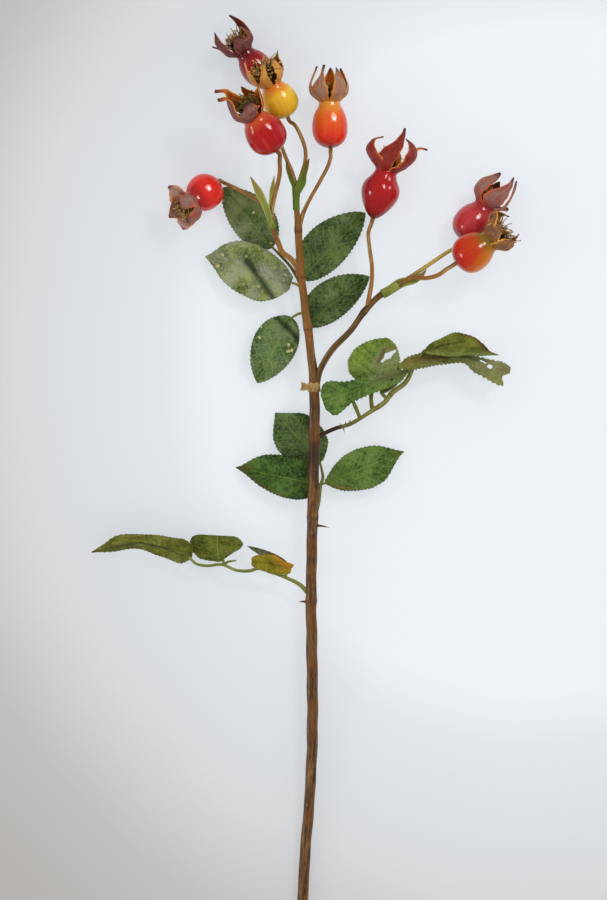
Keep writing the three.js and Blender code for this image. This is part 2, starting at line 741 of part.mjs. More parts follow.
/** A leaf's stalk: its main rachis, then the short stalks of its leaflets, joined. */
const LEAF_STALKS = {
  upper: [
    [
      [4.4, 41, 12, 1.2],
      [2.6, 56, 9.2, 0.9],
      [0, 76, 7.4, 0.85],
      [-2, 88, 6.4, 0.8],
      [-6.5, 97, 3.6, 0.75],
      [-12, 103.4, 3.2, 0.75],
      [-15.7, 106.7, 3, 0.7],
    ],
    [[-1.9, 87.4, 6.5, 0.7], [-4, 88.8, 6.7, 0.6], [-6.1, 89.4, 6.8, 0.55]],
    [[0.2, 74.6, 7.6, 0.75], [-3, 74, 7.4, 0.7], [-6.4, 72.9, 6.7, 0.6]],
    [[-2, 87.9, 6.4, 0.7], [-1.9, 89.4, 6, 0.6], [-1.8, 91, 5.7, 0.55]],
    [[1.2, 67, 8, 0.7], [0.7, 67.4, 6, 0.6], [0.3, 67.8, 4.4, 0.5]],
  ],
  lower: [
    [
      [5.4, -27.6, 10.6, 1.1],
      [7.25, -19.25, 8.4, 0.9],
      [7.75, -14.25, 6.8, 0.85],
      [8.25, -11.25, 6, 0.8],
      [9.25, -8.25, 5, 0.75],
      [8.5, -1.4, 3.5, 0.6],
    ],
    [[8.2, -11.4, 6, 0.7], [9.2, -11.2, 5.7, 0.65], [10.4, -10.9, 5.4, 0.55]],
    [[8.2, -11.4, 6, 0.7], [7.2, -11.4, 6.4, 0.65], [6, -11.3, 6.7, 0.55]],
  ],
  right: [
    [
      [5.4, 10.6, 13.2, 1.3],
      [7.75, 12.75, 13.4, 1.1],
      [15.25, 16.5, 13.8, 1.05],
      [22.75, 18.75, 14.2, 1],
      [32.75, 24.75, 14.8, 1],
      [40.25, 29.75, 15, 0.95],
      [43.75, 34.25, 15, 0.85],
      [50.25, 39.25, 14.8, 0.8],
      [53, 44, 14.2, 0.75],
      [53.9, 46.8, 13.7, 0.65],
    ],
    [[27.75, 21.75, 14.5, 0.8], [26, 26, 15.6, 0.65], [24.5, 29.3, 16.2, 0.55]],
    [[34, 25.6, 14.8, 0.8], [33.4, 30.8, 12, 0.65], [33.3, 34.2, 9.2, 0.55]],
    [[41, 31.2, 15, 0.75], [41.9, 35, 14.6, 0.6], [42.9, 36.3, 14.4, 0.5]],
    [[52.4, 42.6, 14.6, 0.7], [52.6, 49.6, 16.4, 0.65], [56, 54, 17, 0.55]],
  ],
  left: [
    [
      [2.2, -66.6, 9.8, 1.2],
      [-2.25, -61.75, 9.9, 1],
      [-9.75, -58, 9.9, 0.85],
      [-17.25, -55.25, 9.8, 0.8],
      [-23.25, -53.6, 9.6, 0.8],
      [-27.25, -54.75, 9.4, 0.85],
      [-34.25, -54.5, 9.2, 0.8],
      [-41.25, -51.7, 9, 0.75],
      [-48.75, -52.25, 9, 0.75],
      [-54, -51.4, 9.2, 0.7],
      [-56.9, -48.7, 9.5, 0.65],
    ],
    [[-5.75, -59.5, 10, 0.7], [-6, -57, 11, 0.6], [-6.4, -55.3, 11.7, 0.5]],
    [[-9.8, -58, 9.8, 0.7], [-9.4, -54, 9.6, 0.55], [-9.2, -51.1, 9.6, 0.5]],
    [[-41, -51.8, 9, 0.7], [-40.6, -50.8, 9.5, 0.6], [-40.4, -50.3, 9.8, 0.5]],
  ],
};

for (const [name, shape] of Object.entries(LEAFLETS)) {
  const under = UNDER_FACES.includes(name);
  const finish = name.endsWith("yellow") ? FINISH.leafYellow : under ? FINISH.leafUnder : FINISH.leaf;
  add(name, leaflet(shape), finish);
}
for (const [name, limbs] of Object.entries(LEAF_STALKS)) {
  const parts = limbs.map((points) => limb(points, { sides: 6, steps: points.length + 2 }));
  add(`${name}_leaf_stalk`, joined(parts, [CANE_CUTTER]), FINISH.greenTwig);
}

// ---- Bracts and stipules ----

/** A wrap round part of a stem, standing off it by the gap. */
function sleeve(points) {
  const wall = limb(points, { sides: 7, steps: 2, extra: GAP + SLEEVE_WALL });
  const ends = [points[0], points.at(-1)].map((p) => new THREE.Vector3(...p));
  const reach = ends[1].clone().sub(ends[0]).setLength(1);
  const longer = [
    [...ends[0].clone().sub(reach).toArray(), points[0][3]],
    ...points,
    [...ends[1].clone().add(reach).toArray(), points.at(-1)[3]],
  ];
  return { wall, bore: limb(longer, { sides: 7, steps: 4, extra: GAP }) };
}

/** A lance-shaped bract through points [x, y, z, half width], its face turned up. */
function lance(points, roll = 0) {
  const spine = new THREE.CatmullRomCurve3(points.map(([x, y, z]) => new THREE.Vector3(x, y, z)));
  const widths = new THREE.SplineCurve(
    points.map((p, i) => new THREE.Vector2(i / (points.length - 1), p[3])),
  );
  const turn = THREE.MathUtils.degToRad(roll);
  return blade({
    spine,
    leftAt: (t, tangent) => {
      const level = new THREE.Vector3(-tangent.y, tangent.x, 0).normalize();
      return level.applyAxisAngle(tangent, turn);
    },
    reach: (t, u) => u * Math.max(0.4, widths.getPoint(t).y),
    lift: (t, u) => 0.25 * u * u * widths.getPoint(t).y,
    thickness: BRACT_THICKNESS,
    steps: 5,
    across: 2,
  });
}

/** A stalk's own shape, grown by the gap, to cut what passes it. */
const aroundStalk = (name) => limb(STALKS[name], { sides: 6, extra: GAP });

const topWrap = sleeve(CANE.slice(-3, -1));
add(
  "top_bract",
  joined(
    [
      topWrap.wall,
      lance([
        [-3.6, 124, 20.4, 1.2],
        [-2.6, 131, 21.2, 2.2],
        [-1.6, 138, 21.8, 2],
        [0.4, 144.5, 22, 1.5],
        [2.4, 149.6, 21.8, 0.5],
      ]),
    ],
    [topWrap.bore, CANE_CUTTER, ...["yellow", "back_red", "orange"].map(aroundStalk)],
  ),
  FINISH.bract,
);

const leftWrap = sleeve(LEFT_SHOOT.slice(-2));
add(
  "left_bract",
  joined(
    [
      leftWrap.wall,
      lance([
        [-16.6, 118, 23.6, 1.2],
        [-18.6, 125, 24.4, 2.2],
        [-22.4, 133.4, 24.8, 2.2],
        [-26.6, 141.4, 24.4, 0.5],
      ]),
      lance([
        [-16.8, 118, 23.8, 1],
        [-17, 126, 25.6, 1.5],
        [-16.4, 134.6, 27.2, 1.2],
        [-15.2, 142, 28.4, 0.4],
      ]),
    ],
    [leftWrap.bore, LEFT_SHOOT_CUTTER, aroundStalk("left_red"), aroundStalk("front_red")],
  ),
  FINISH.bract,
);

const rightWrap = sleeve([
  [39.4, 84, 15.8, 1.4],
  [45.4, 87.5, 15.4, 1.3],
]);
add(
  "right_bract",
  joined(
    [
      rightWrap.wall,
      lance([
        [39.4, 83.8, 17.8, 0.9],
        [45, 88.6, 18.2, 2.4],
        [51.6, 92.6, 18.6, 1.9],
        [60.4, 96, 20.6, 0.5],
      ]),
    ],
    [rightWrap.bore, RIGHT_SHOOT_CUTTER, aroundStalk("amber")],
  ),
  FINISH.bract,
);

const caneWrap = sleeve([
  [4.9, 34.8, caneHeight(34.8), 2.75],
  [4.8, 39, caneHeight(39), 2.55],
]);
add(
  "stem_stipule",
  joined(
    [
      caneWrap.wall,
      lance([
        [3.4, 37, 16.4, 1.6],
        [1, 37.2, 15.4, 1.8],
        [-1.6, 37.6, 14.2, 2.4],
      ]),
    ],
    [caneWrap.bore, CANE_CUTTER, RIGHT_SHOOT_CUTTER],
  ),
  FINISH.dryStipule,
);

// The box is worked out from the pieces themselves, so that the origin stays in the middle of it.
const box = new THREE.Box3().setFromObject(sprig, true);
const middle = box.getCenter(new THREE.Vector3());
sprig.position.set(-middle.x, -middle.y, -box.min.z);

export default sprig;
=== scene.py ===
"""A rose hip sprig lying on a pale table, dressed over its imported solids.

Lengths in the layout are millimetres: +X across the sprig, +Y up the cane, +Z up from the table.
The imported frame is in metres, with its origin at the middle of the sprig's footprint.
"""

import logging
import math
from dataclasses import dataclass
from enum import Enum
from functools import lru_cache
from typing import Callable, Iterable, Sequence

import bpy
import numpy as np
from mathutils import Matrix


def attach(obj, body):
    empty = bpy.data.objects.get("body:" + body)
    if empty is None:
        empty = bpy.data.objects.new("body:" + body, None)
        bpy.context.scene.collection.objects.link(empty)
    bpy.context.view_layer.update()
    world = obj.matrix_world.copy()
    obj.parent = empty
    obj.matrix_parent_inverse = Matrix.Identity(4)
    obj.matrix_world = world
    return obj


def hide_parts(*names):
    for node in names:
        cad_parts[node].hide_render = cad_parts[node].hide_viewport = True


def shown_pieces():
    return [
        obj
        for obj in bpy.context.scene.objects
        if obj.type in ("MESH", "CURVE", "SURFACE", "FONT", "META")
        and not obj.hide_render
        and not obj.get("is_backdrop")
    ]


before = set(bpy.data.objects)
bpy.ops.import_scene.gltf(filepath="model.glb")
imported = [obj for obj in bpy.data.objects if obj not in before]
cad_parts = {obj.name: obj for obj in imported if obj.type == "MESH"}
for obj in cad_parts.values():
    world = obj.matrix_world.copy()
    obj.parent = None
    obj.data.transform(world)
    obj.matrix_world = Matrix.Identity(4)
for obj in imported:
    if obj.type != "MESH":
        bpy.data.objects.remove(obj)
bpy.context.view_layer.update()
log = logging.getLogger("rose_hip_sprig")

MM = 0.001
TO_FRAME = np.array([-0.42, 0.13, 0.0])  # from the layout's origin to the footprint's middle
CANE_LOW_Y, CANE_LOW_Z = -223.0, 2.75  # the cut end's middle
CANE_RISE = 0.0445  # for each millimetre along the cane, which the hips prop up
TABLE_Z = -0.00018  # the table's top, in metres: the lowest hip just touches it
VEINS, VEIN_SLANT, VEIN_CURVE = 8.0, 2.1, 0.35  # pairs of side veins on a leaflet, and their run
SPAN_STEPS = 24  # steps between two points of a smooth line
NECK_SHARE = 0.57  # a hip's neck radius, as a share of its widest radius
TUFT_RADIUS = 3.3  # of the ring inside a crown where the stamens grow
LEAST_HALF = 0.22  # the least half width of a leaflet
TOOTH_RISE, TOOTH_FALL = 0.72, 0.28  # shares of a leaf's tooth: it leans towards the tip
BLUR = 13  # rows over which a leaflet's drawn edges are smoothed
WINDOW_EDGE = 0.014  # how soft the edge of a bright window in the sky is

Shade = tuple[int, int, int]
Point = tuple[float, ...]
Rows = np.ndarray

STAIN: Shade = (52, 32, 16)  # browned bark
SCAR: Shade = (74, 34, 20)  # where a hip meets its stalk
DUST: Shade = (158, 160, 140)
PALE_SPECK: Shade = (218, 204, 144)
SKY_WHITE: Shade = (252, 253, 255)


# ---- Shader expressions ----


def linear(shade: Shade) -> tuple[float, float, float, float]:
    """A colour of 0 to 255 as the renderer's linear light.

    Args:
        shade: The colour.

    Returns:
        Red, green, blue and alpha.
    """
    parts = [c / 255 for c in shade]
    light = [c / 12.92 if c <= 0.04045 else ((c + 0.055) / 1.055) ** 2.4 for c in parts]
    return (light[0], light[1], light[2], 1.0)


def _operator(operation: str, swapped: bool = False) -> Callable[["Value", "Operand"], "Value"]:
    """An arithmetic method that adds a Math node.

    Args:
        operation: The node's operation.
        swapped: Whether the value stands on the right.

    Returns:
        The method.
    """

    def method(self: "Value", other: "Operand") -> "Value":
        """Adds the node and gives its result."""
        return self.graph.maths(operation, *((other, self) if swapped else (self, other)))

    return method


class Value:
    """Something that varies over a surface: one shader socket, with arithmetic."""

    def __init__(self, graph: "Graph", socket: bpy.types.NodeSocket) -> None:
        """Keeps the socket and the graph that it belongs to."""
        self.graph = graph
        self.socket = socket

    __add__, __radd__ = _operator("ADD"), _operator("ADD", swapped=True)
    __sub__, __rsub__ = _operator("SUBTRACT"), _operator("SUBTRACT", swapped=True)
    __mul__, __rmul__ = _operator("MULTIPLY"), _operator("MULTIPLY", swapped=True)
    __truediv__ = _operator("DIVIDE")

    def __abs__(self) -> "Value":
        """Size without sign."""
        return self.graph.maths("ABSOLUTE", self)

    def clamp(self) -> "Value":
        """Kept between 0 and 1."""
        return self.graph.maths("MINIMUM", self.graph.maths("MAXIMUM", self, 0.0), 1.0)

    def step(self, low: float, high: float) -> "Value":
        """A soft step: 0 up to low, 1 from high.

        Args:
            low: Where it is 0.
            high: Where it is 1, above low or below it.

        Returns:
            The step.
        """
        settings = {"interpolation_type": "SMOOTHSTEP"}
        values = {"Value": self, "From Min": low, "From Max": high}
        return self.graph.take(0, "ShaderNodeMapRange", settings, values)


Operand = Value | float
Tint = Value | Shade


class Graph:
    """The node graph of one finish, or of the sky."""

    def __init__(self, name: str, sky: bool = False) -> None:
        """Starts an empty material, or an empty sky.

        Args:
            name: The material's name, or the sky's.
            sky: Whether it is the sky.
        """
        self.material = (bpy.data.worlds if sky else bpy.data.materials).new(name)
        self.material.use_nodes = True
        self.tree = self.material.node_tree
        self.tree.nodes.clear()

    def node(
        self, kind: str, settings: dict | None = None, values: dict | None = None
    ) -> bpy.types.Node:
        """Adds a node.

        Args:
            kind: The node's type.
            settings: Its own settings, which are set first. "stops" are a ramp's.
            values: A number, colour or link for each socket, by name or by number.

        Returns:
            The node.
        """
        made = self.tree.nodes.new(kind)
        for key, setting in (settings or {}).items():
            if key == "stops":
                self._set_stops(made.color_ramp, setting)
            else:
                setattr(made, key, setting)
        for key, value in (values or {}).items():
            self.feed(made.inputs[key], value)
        return made

    def take(
        self, output: str | int, kind: str, settings: dict | None = None, values: dict | None = None
    ) -> Value:
        """Adds a node and takes one of its outputs, by name or by number."""
        return Value(self, self.node(kind, settings, values).outputs[output])

    @staticmethod
    def _set_stops(ramp: bpy.types.ColorRamp, stops: Sequence[tuple[float, Shade]]) -> None:
        """Gives a colour ramp its stops.

        Args:
            ramp: The ramp.
            stops: Places from 0 to 1, with a colour for each.
        """
        while len(ramp.elements) < len(stops):
            ramp.elements.new(1.0)
        for element, (place, shade) in zip(ramp.elements, stops):
            element.position, element.color = place, linear(shade)

    def feed(self, socket: bpy.types.NodeSocket, value: object) -> None:
        """Links a value to a socket, or sets the socket to a constant.

        Args:
            socket: The socket.
            value: A value to link, a colour or a constant.
        """
        if isinstance(value, Value):
            self.tree.links.new(value.socket, socket)
        elif isinstance(value, tuple) and socket.type == "RGBA":
            socket.default_value = linear(value)
        else:
            socket.default_value = value

    def maths(self, operation: str, *operands: Operand) -> Value:
        """A Math node over values and numbers."""
        settings = {"operation": operation}
        return self.take(0, "ShaderNodeMath", settings, dict(enumerate(operands)))

    def vector(self, operation: str, *operands: Value | tuple[float, float, float]) -> Value:
        """A Vector Math node; a dot product comes out as a number.

        Args:
            operation: The node's operation.
            *operands: Vectors, as values or as numbers.

        Returns:
            The vector, or a dot product's number.
        """
        output = "Value" if operation == "DOT_PRODUCT" else "Vector"
        settings = {"operation": operation}
        return self.take(output, "ShaderNodeVectorMath", settings, dict(enumerate(operands)))

    def mix(self, share: Operand, a: Tint, b: Tint) -> Value:
        """Two colours mixed: share of b over a."""
        settings = {"data_type": "RGBA", "clamp_factor": True}
        return self.take(2, "ShaderNodeMix", settings, {0: share, 6: a, 7: b})

    def ramp(self, value: Value, *stops: tuple[float, Shade]) -> Value:
        """A colour for each level of a value."""
        return self.take("Color", "ShaderNodeValToRGB", {"stops": stops}, {"Fac": value})

    def noise(self, place: Value, scale: float, detail: float = 3.0, rough: float = 0.55) -> Value:
        """Soft cloudy noise about 0.5."""
        values = {"Vector": place, "Scale": scale, "Detail": detail, "Roughness": rough}
        return self.take("Fac", "ShaderNodeTexNoise", {}, values)

    def cells(self, place: Value, scale: float, feature: str = "F1") -> Value:
        """Distance within a field of cells, to their seeds or their edges."""
        values = {"Vector": place, "Scale": scale}
        return self.take("Distance", "ShaderNodeTexVoronoi", {"feature": feature}, values)

    def attribute(self, name: str) -> Value:
        """A vector that the mesh carries."""
        return self.take("Vector", "ShaderNodeAttribute", {"attribute_name": name})

    def parts(self, vector: Value) -> list[Value]:
        """A vector's three numbers."""
        made = self.node("ShaderNodeSeparateXYZ", {}, {0: vector})
        return [Value(self, output) for output in made.outputs]

    def rays(self, *kinds: str) -> list[Value]:
        """For each kind of ray that may have come to see it, 1 if it did."""
        outputs = self.node("ShaderNodeLightPath").outputs
        return [Value(self, outputs[f"Is {kind} Ray"]) for kind in kinds]

    def body(self) -> Value:
        """The place in the sprig, in millimetres."""
        spot = self.take("Object", "ShaderNodeTexCoord")
        return self.vector("MULTIPLY", spot, (1 / MM,) * 3)

    def surface(
        self, colour: Tint, roughness: Operand, height: Value | None = None, relief: float = 0.1,
        glow: float = 0.0, **constants: float,
    ) -> bpy.types.Material:
        """Ends the graph in a surface.

        Args:
            colour: The base colour.
            roughness: The roughness.
            height: A level from 0 to 1 that stands up as relief.
            relief: The relief's height in millimetres.
            glow: How far the camera and mirrors see the colour itself, whatever the light on it.
            **constants: Other settings of the shader, with _ for a space.

        Returns:
            The material.
        """
        values: dict[str, object] = {"Base Color": colour, "Roughness": roughness}
        values |= {key.replace("_", " "): value for key, value in constants.items()}
        if height is not None:
            bump = {"Strength": 1.0, "Distance": relief * MM, "Height": height}
            values["Normal"] = self.take("Normal", "ShaderNodeBump", {}, bump)
        face = self.take(0, "ShaderNodeBsdfPrincipled", {}, values)
        if glow:
            camera, glossy, through = self.rays("Camera", "Glossy", "Transmission")
            shine = self.take(0, "ShaderNodeEmission", {}, {"Color": colour, "Strength": 1.0})
            share = (camera + glossy + through).clamp() * glow
            face = self.take(0, "ShaderNodeMixShader", {}, {0: share, 1: face, 2: shine})
        self.node("ShaderNodeOutputMaterial", {}, {"Surface": face})
        return self.material


# ---- Finishes ----


@dataclass(frozen=True)
class StemFinish:
    """Bark or the skin of a green twig, streaked along the stem."""

    name: str
    dark: Shade
    middle: Shade
    light: Shade
    warm: Shade
    speck: Shade = (176, 150, 104)
    roughness: float = 0.42
    relief: float = 0.22
    young: Shade = (142, 92, 20)

    def material(self) -> bpy.types.Material:
        """Streaks, warm patches, pale specks and fine ridges.

        Returns:
            The material.
        """
        g = Graph(self.name)
        place = g.attribute("place")
        streak = g.noise(g.vector("MULTIPLY", place, (1.0, 0.07, 1.0)), 0.9, 5.0, 0.66)
        strand = g.noise(g.vector("MULTIPLY", place, (1.0, 0.12, 1.0)), 2.6, 3.0, 0.6)
        patch = g.noise(place, 0.06, 2.0)
        grain = g.noise(place, 1.7, 3.0, 0.6)
        colour = g.ramp(streak, (0.36, self.dark), (0.5, self.middle), (0.64, self.light))
        colour = g.mix(patch.step(0.46, 0.6) * 0.7, colour, self.warm)
        colour = g.mix(strand.step(0.5, 0.7) * 0.65, colour, self.dark)
        colour = g.mix(strand.step(0.46, 0.32) * 0.5, colour, self.light)
        colour = g.mix(grain.step(0.55, 0.75) * 0.4, colour, self.dark)
        pores = g.cells(g.vector("MULTIPLY", place, (1.0, 0.55, 1.0)), 0.36)
        colour = g.mix((1.0 - pores.step(0.08, 0.16)) * 0.4, colour, self.speck)
        ring, browned, young = g.parts(g.attribute("marks"))
        colour = g.mix((young * streak * 1.2).clamp(), colour, self.young)
        colour = g.mix(ring.clamp() * 0.6, colour, self.dark)
        colour = g.mix((browned * (0.7 + streak * 0.6)).clamp(), colour, STAIN)
        height = streak * 0.6 + strand * 0.3 + grain * 0.2
        return g.surface(
            colour, self.roughness + grain * 0.2, height, self.relief, Specular_IOR_Level=0.3
        )


@dataclass(frozen=True)
class CutFinish:
    """The cut end of the cane: pale wood round a pith."""

    name: str = "cut_wood"

    def material(self) -> bpy.types.Material:
        """Fibres in rings, darker towards the bark.

        Returns:
            The material.
        """
        g = Graph(self.name)
        out = g.parts(g.attribute("place"))[0]
        fibre = g.noise(g.body(), 2.2, 4.0)
        colour = g.ramp(
            out + (fibre - 0.5) * 0.3, (0.1, (150, 112, 66)), (0.35, (206, 182, 132)),
            (0.9, (120, 84, 48)),
        )
        return g.surface(colour, 0.8, fibre, 0.2)


@dataclass(frozen=True)
class LeafFinish:
    """One face of a leaflet."""

    name: str
    dark: Shade
    middle: Shade
    light: Shade
    vein: Shade
    dust: float = 0.0  # how far grey dust covers it
    specks: float = 0.0  # how strong its pale specks are
    dry: Shade = (150, 156, 120)
    brown: Shade = (92, 44, 22)
    roughness: float = 0.5
    # painted shade, laid along the fold marks and as painted stalk shadows on two upper leaflets
    shade: Shade = (26, 42, 14)

    def material(self) -> bpy.types.Material:
        """Mottled blade, net of veins, dusty patches, pale specks, dry and browned places, and
        painted shade along its folds.

        Returns:
            The material.
        """
        g = Graph(self.name)
        across, along, _ = g.parts(g.attribute("place"))
        fold_shade, dry, brown = g.parts(g.attribute("marks"))
        body = g.body()
        cloud = g.noise(body, 0.1, 3.0, 0.6)
        mottle = g.noise(body, 0.8, 4.0, 0.72)
        net = g.cells(body, 0.44, "DISTANCE_TO_EDGE")
        fine = g.noise(body, 2.2, 3.0, 0.65)
        tone = cloud * 0.5 + mottle * 0.25 + fine * 0.25
        colour = g.ramp(tone, (0.44, self.dark), (0.5, self.middle), (0.565, self.light))
        grey = g.noise(body, 0.13, 3.0, 0.6).step(0.42, 0.6) * fine.step(0.44, 0.56) * self.dust
        colour = g.mix(grey, colour, DUST)
        reach = abs(across)
        phase = along * VEINS - reach * VEIN_SLANT + reach * reach * VEIN_CURVE
        side = abs(g.maths("FRACT", phase + 20.0) - 0.5) * 2.0
        rib = side.step(0.88, 0.99) * (1.0 - reach.step(0.7, 0.95))
        middle = 1.0 - reach.step(0.01, 0.045)
        lines = g.maths("MAXIMUM", rib * (0.25 + fine * 0.7), middle * 0.8)
        colour = g.mix(lines.clamp(), colour, self.vein)
        mesh = (1.0 - net.step(0.01, 0.12)) * fine.step(0.62, 0.42) * 0.65
        colour = g.mix(mesh, colour, self.vein)
        colour = g.mix(fine.step(0.54, 0.68) * 0.25, colour, self.dark)
        colour = g.mix(fine.step(0.46, 0.36) * 0.42, colour, self.vein)
        seeds = {"Vector": body, "Scale": 0.14}
        spots = g.take("Distance", "ShaderNodeTexVoronoi", {"voronoi_dimensions": "2D"}, seeds)
        edge = spots + (cloud - 0.5) * 0.5 + (fine - 0.5) * 0.4
        colour = g.mix((1.0 - edge.step(0.01, 0.06)) * self.specks, colour, PALE_SPECK)
        colour = g.mix(reach.step(0.9, 1.0) * 0.35, colour, self.dark)
        colour = g.mix((dry * (0.2 + fine.step(0.44, 0.54) * 0.95)).clamp(), colour, self.dry)
        colour = g.mix((brown * (0.4 + mottle * 1.1)).clamp(), colour, self.brown)
        # painted shade along the fold marks
        colour = g.mix(fold_shade.clamp() * 0.85, colour, self.shade)
        height = net.step(0.0, 0.3) * 0.5 + fine * 0.3 - lines * 0.3
        return g.surface(
            colour, self.roughness + mottle * 0.2, height, 0.16, Specular_IOR_Level=0.14
        )


@dataclass(frozen=True)
class HipFinish:
    """A hip's glossy skin, in its own directions: right, along from the stalk, and up."""

    name: str
    foot: Shade
    body: Shade
    shoulder: Shade
    neck: Shade
    # the colour towards one side: painted shade on the back red, front red, left red and pink red
    # hips, a painted purplish sheen on the crimson hip, and the hip's own tint on the orange,
    # yellow and amber hips
    blush: Shade
    towards: tuple[float, float, float] = (1.0, 0.0, 0.0)  # the side that takes the blush colour
    shade_and_tint_from: float = 0.1  # how far towards that side the blush colour starts
    streak: Shade | None = None
    streaks: float = 0.3  # how strong the streaks are
    roughness: float = 0.2

    def material(self) -> bpy.types.Material:
        """A blend from stalk to neck, a colour towards one side (painted shade on four hips, a
        painted sheen on one, the hip's own tint on three), faint meridian streaks and pores.

        Returns:
            The material.
        """
        g = Graph(self.name)
        place = g.attribute("place")
        along = g.parts(place)[1]
        cloud = g.noise(place, 1.6, 3.0, 0.55)
        wander = (cloud - 0.5) * 0.35
        colour = g.ramp(
            along + wander, (0.0, self.foot), (0.2, self.body), (0.72, self.shoulder),
            (0.96, self.neck),
        )
        # the side colour, which each finish sets: painted shade, a painted sheen, the hip's own
        # tint
        shade_and_tint_side = g.vector("DOT_PRODUCT", place, self.towards) + wander * 1.6
        colour = g.mix(shade_and_tint_side.step(self.shade_and_tint_from, self.shade_and_tint_from + 0.75), colour, self.blush)
        ribs = g.noise(g.vector("MULTIPLY", place, (3.4, 0.35, 3.4)), 1.3, 4.0, 0.6)
        colour = g.mix(ribs.step(0.5, 0.68) * self.streaks, colour, self.streak or self.body)
        colour = g.mix(ribs.step(0.46, 0.28) * 0.16, colour, self.foot)
        pores = g.noise(place, 26.0, 2.0)
        colour = g.mix(pores.step(0.6, 0.75) * 0.18, colour, self.foot)
        colour = g.mix((1.0 - along.step(0.0, 0.09)) * 0.7, colour, SCAR)
        height = ribs * 0.55 + pores * 0.08 + cloud * 0.2
        gloss = {
            "Specular_IOR_Level": 0.12, "Coat_Weight": 0.5, "Coat_Roughness": 0.1, "Coat_IOR": 1.6
        }
        return g.surface(colour, self.roughness + cloud * 0.1, height, 0.2, **gloss)


@dataclass(frozen=True)
class SepalFinish:
    """One face of a hip's dried sepals."""

    name: str
    foot: Shade
    face: Shade
    blush: Shade
    border: Shade
    tip: Shade
    edge: float = 0.76  # the share across it where the border starts
    roughness: float = 0.38

    def material(self) -> bpy.types.Material:
        """A face that reddens in patches, a bright border, a dark tip and drawn-out fibres.

        Returns:
            The material.
        """
        g = Graph(self.name)
        place = g.attribute("place")
        across, along, _ = g.parts(place)
        fibres = g.noise(g.vector("MULTIPLY", place, (9.0, 1.2, 1.0)), 1.6, 5.0, 0.62)
        patch = g.noise(g.body(), 0.28, 3.0, 0.6)
        spots = g.noise(g.body(), 1.9, 3.0, 0.65)
        colour = g.mix(1.0 - along.step(0.0, 0.3), self.face, self.foot)
        colour = g.mix((patch * 0.6 + fibres * 0.4).step(0.42, 0.62) * 0.8, colour, self.blush)
        colour = g.mix(fibres.step(0.52, 0.7) * 0.5, colour, self.tip)
        rim = abs(across) + (fibres - 0.5) * 0.5 + (patch - 0.5) * 0.5
        colour = g.mix(rim.step(self.edge, self.edge + 0.2), colour, self.border)
        colour = g.mix((along + (fibres - 0.5) * 0.3).step(0.8, 0.99), colour, self.tip)
        colour = g.mix(spots.step(0.58, 0.74) * 0.3, colour, self.tip)
        height = fibres * 0.7 + spots * 0.3
        return g.surface(colour, self.roughness + spots * 0.2, height, 0.3, Specular_IOR_Level=0.35)


@dataclass(frozen=True)
class StamenFinish:
    """Dried stamens: dark feet, straw-coloured tops."""

    name: str
    foot: Shade
    top: Shade
    anther: Shade

    def material(self) -> bpy.types.Material:
        """Filaments that pale upwards, each of its own tone.

        Returns:
            The material.
        """
        g = Graph(self.name)
        own, along, part = g.parts(g.attribute("place"))
        grain = g.noise(g.body(), 2.4, 2.0)
        colour = g.mix((along + (own - 0.5) * 0.6).step(0.35, 1.0), self.foot, self.top)
        colour = g.mix(part * (0.55 + own * 0.6), colour, self.anther)
        colour = g.mix(grain.step(0.5, 0.7) * 0.5, colour, self.foot)
        return g.surface(colour, 0.75, grain, 0.12, Specular_IOR_Level=0.3)


@dataclass(frozen=True)
class PaperFinish:
    """A bract or a papery stipule, thin and fibrous."""

    name: str
    foot: Shade
    face: Shade
    border: Shade
    tip: Shade

    def material(self) -> bpy.types.Material:
        """Fibres along the blade, a paler border and a browned tip.

        Returns:
            The material.
        """
        g = Graph(self.name)
        place = g.attribute("place")
        across, along, _ = g.parts(place)
        fibres = g.noise(g.vector("MULTIPLY", place, (7.0, 2.0, 1.0)), 1.5, 4.0, 0.6)
        grain = g.noise(g.body(), 1.3, 3.0)
        colour = g.ramp(
            along + (fibres - 0.5) * 0.5, (0.05, self.foot), (0.4, self.face), (0.98, self.tip)
        )
        rim = abs(across) + (grain - 0.5) * 0.5
        colour = g.mix(rim.step(0.6, 0.95) * 0.8, colour, self.border)
        colour = g.mix(fibres.step(0.48, 0.62) * 0.45, colour, self.border)
        colour = g.mix(grain.step(0.56, 0.74) * 0.35, colour, self.tip)
        return g.surface(colour, 0.55 + grain * 0.2, fibres, 0.2, Specular_IOR_Level=0.3)


@dataclass(frozen=True)
class TableFinish:
    """The pale table, with a painted pool of light: palest beyond the sprig's right side, and a
    cool grey away from there.
    """

    name: str = "table"
    # the painted pool of light, from its middle outwards
    stops: tuple[tuple[float, Shade], ...] = (
        (0.2, (238, 243, 247)), (0.27, (228, 232, 236)), (0.36, (222, 226, 229)),
        (0.5, (218, 219, 221)), (0.73, (194, 193, 191)), (1.0, (184, 180, 177)),
    )
    # the middle of the painted pool of light, in metres
    painted_light_centre: tuple[float, float, float] = (0.12, 0.05, 0.0)
    glow: float = 0.6  # the share of the table's paleness that is the same in light and shade

    def material(self) -> bpy.types.Material:
        """A painted pool of light as a smooth wash, with the faintest mottle.

        Returns:
            The material.
        """
        g = Graph(self.name)
        spot = g.take("Object", "ShaderNodeTexCoord")
        # how far each place is from the middle of the painted pool of light
        away = g.vector("SUBTRACT", spot, self.painted_light_centre)
        cloud = g.noise(spot, 9.0, 2.0)
        reach = g.vector("DOT_PRODUCT", away, away) / 0.14 + (cloud - 0.5) * 0.06
        return g.surface(g.ramp(reach, *self.stops), 0.9, glow=self.glow, Specular_IOR_Level=0.1)


PlantFinish = StemFinish | CutFinish | LeafFinish | HipFinish | SepalFinish | StamenFinish
Finish = PlantFinish | PaperFinish | TableFinish


@lru_cache(maxsize=None)
def dress(finish: Finish) -> bpy.types.Material:
    """The material of a finish, made once."""
    return finish.material()


# ---- Skins ----


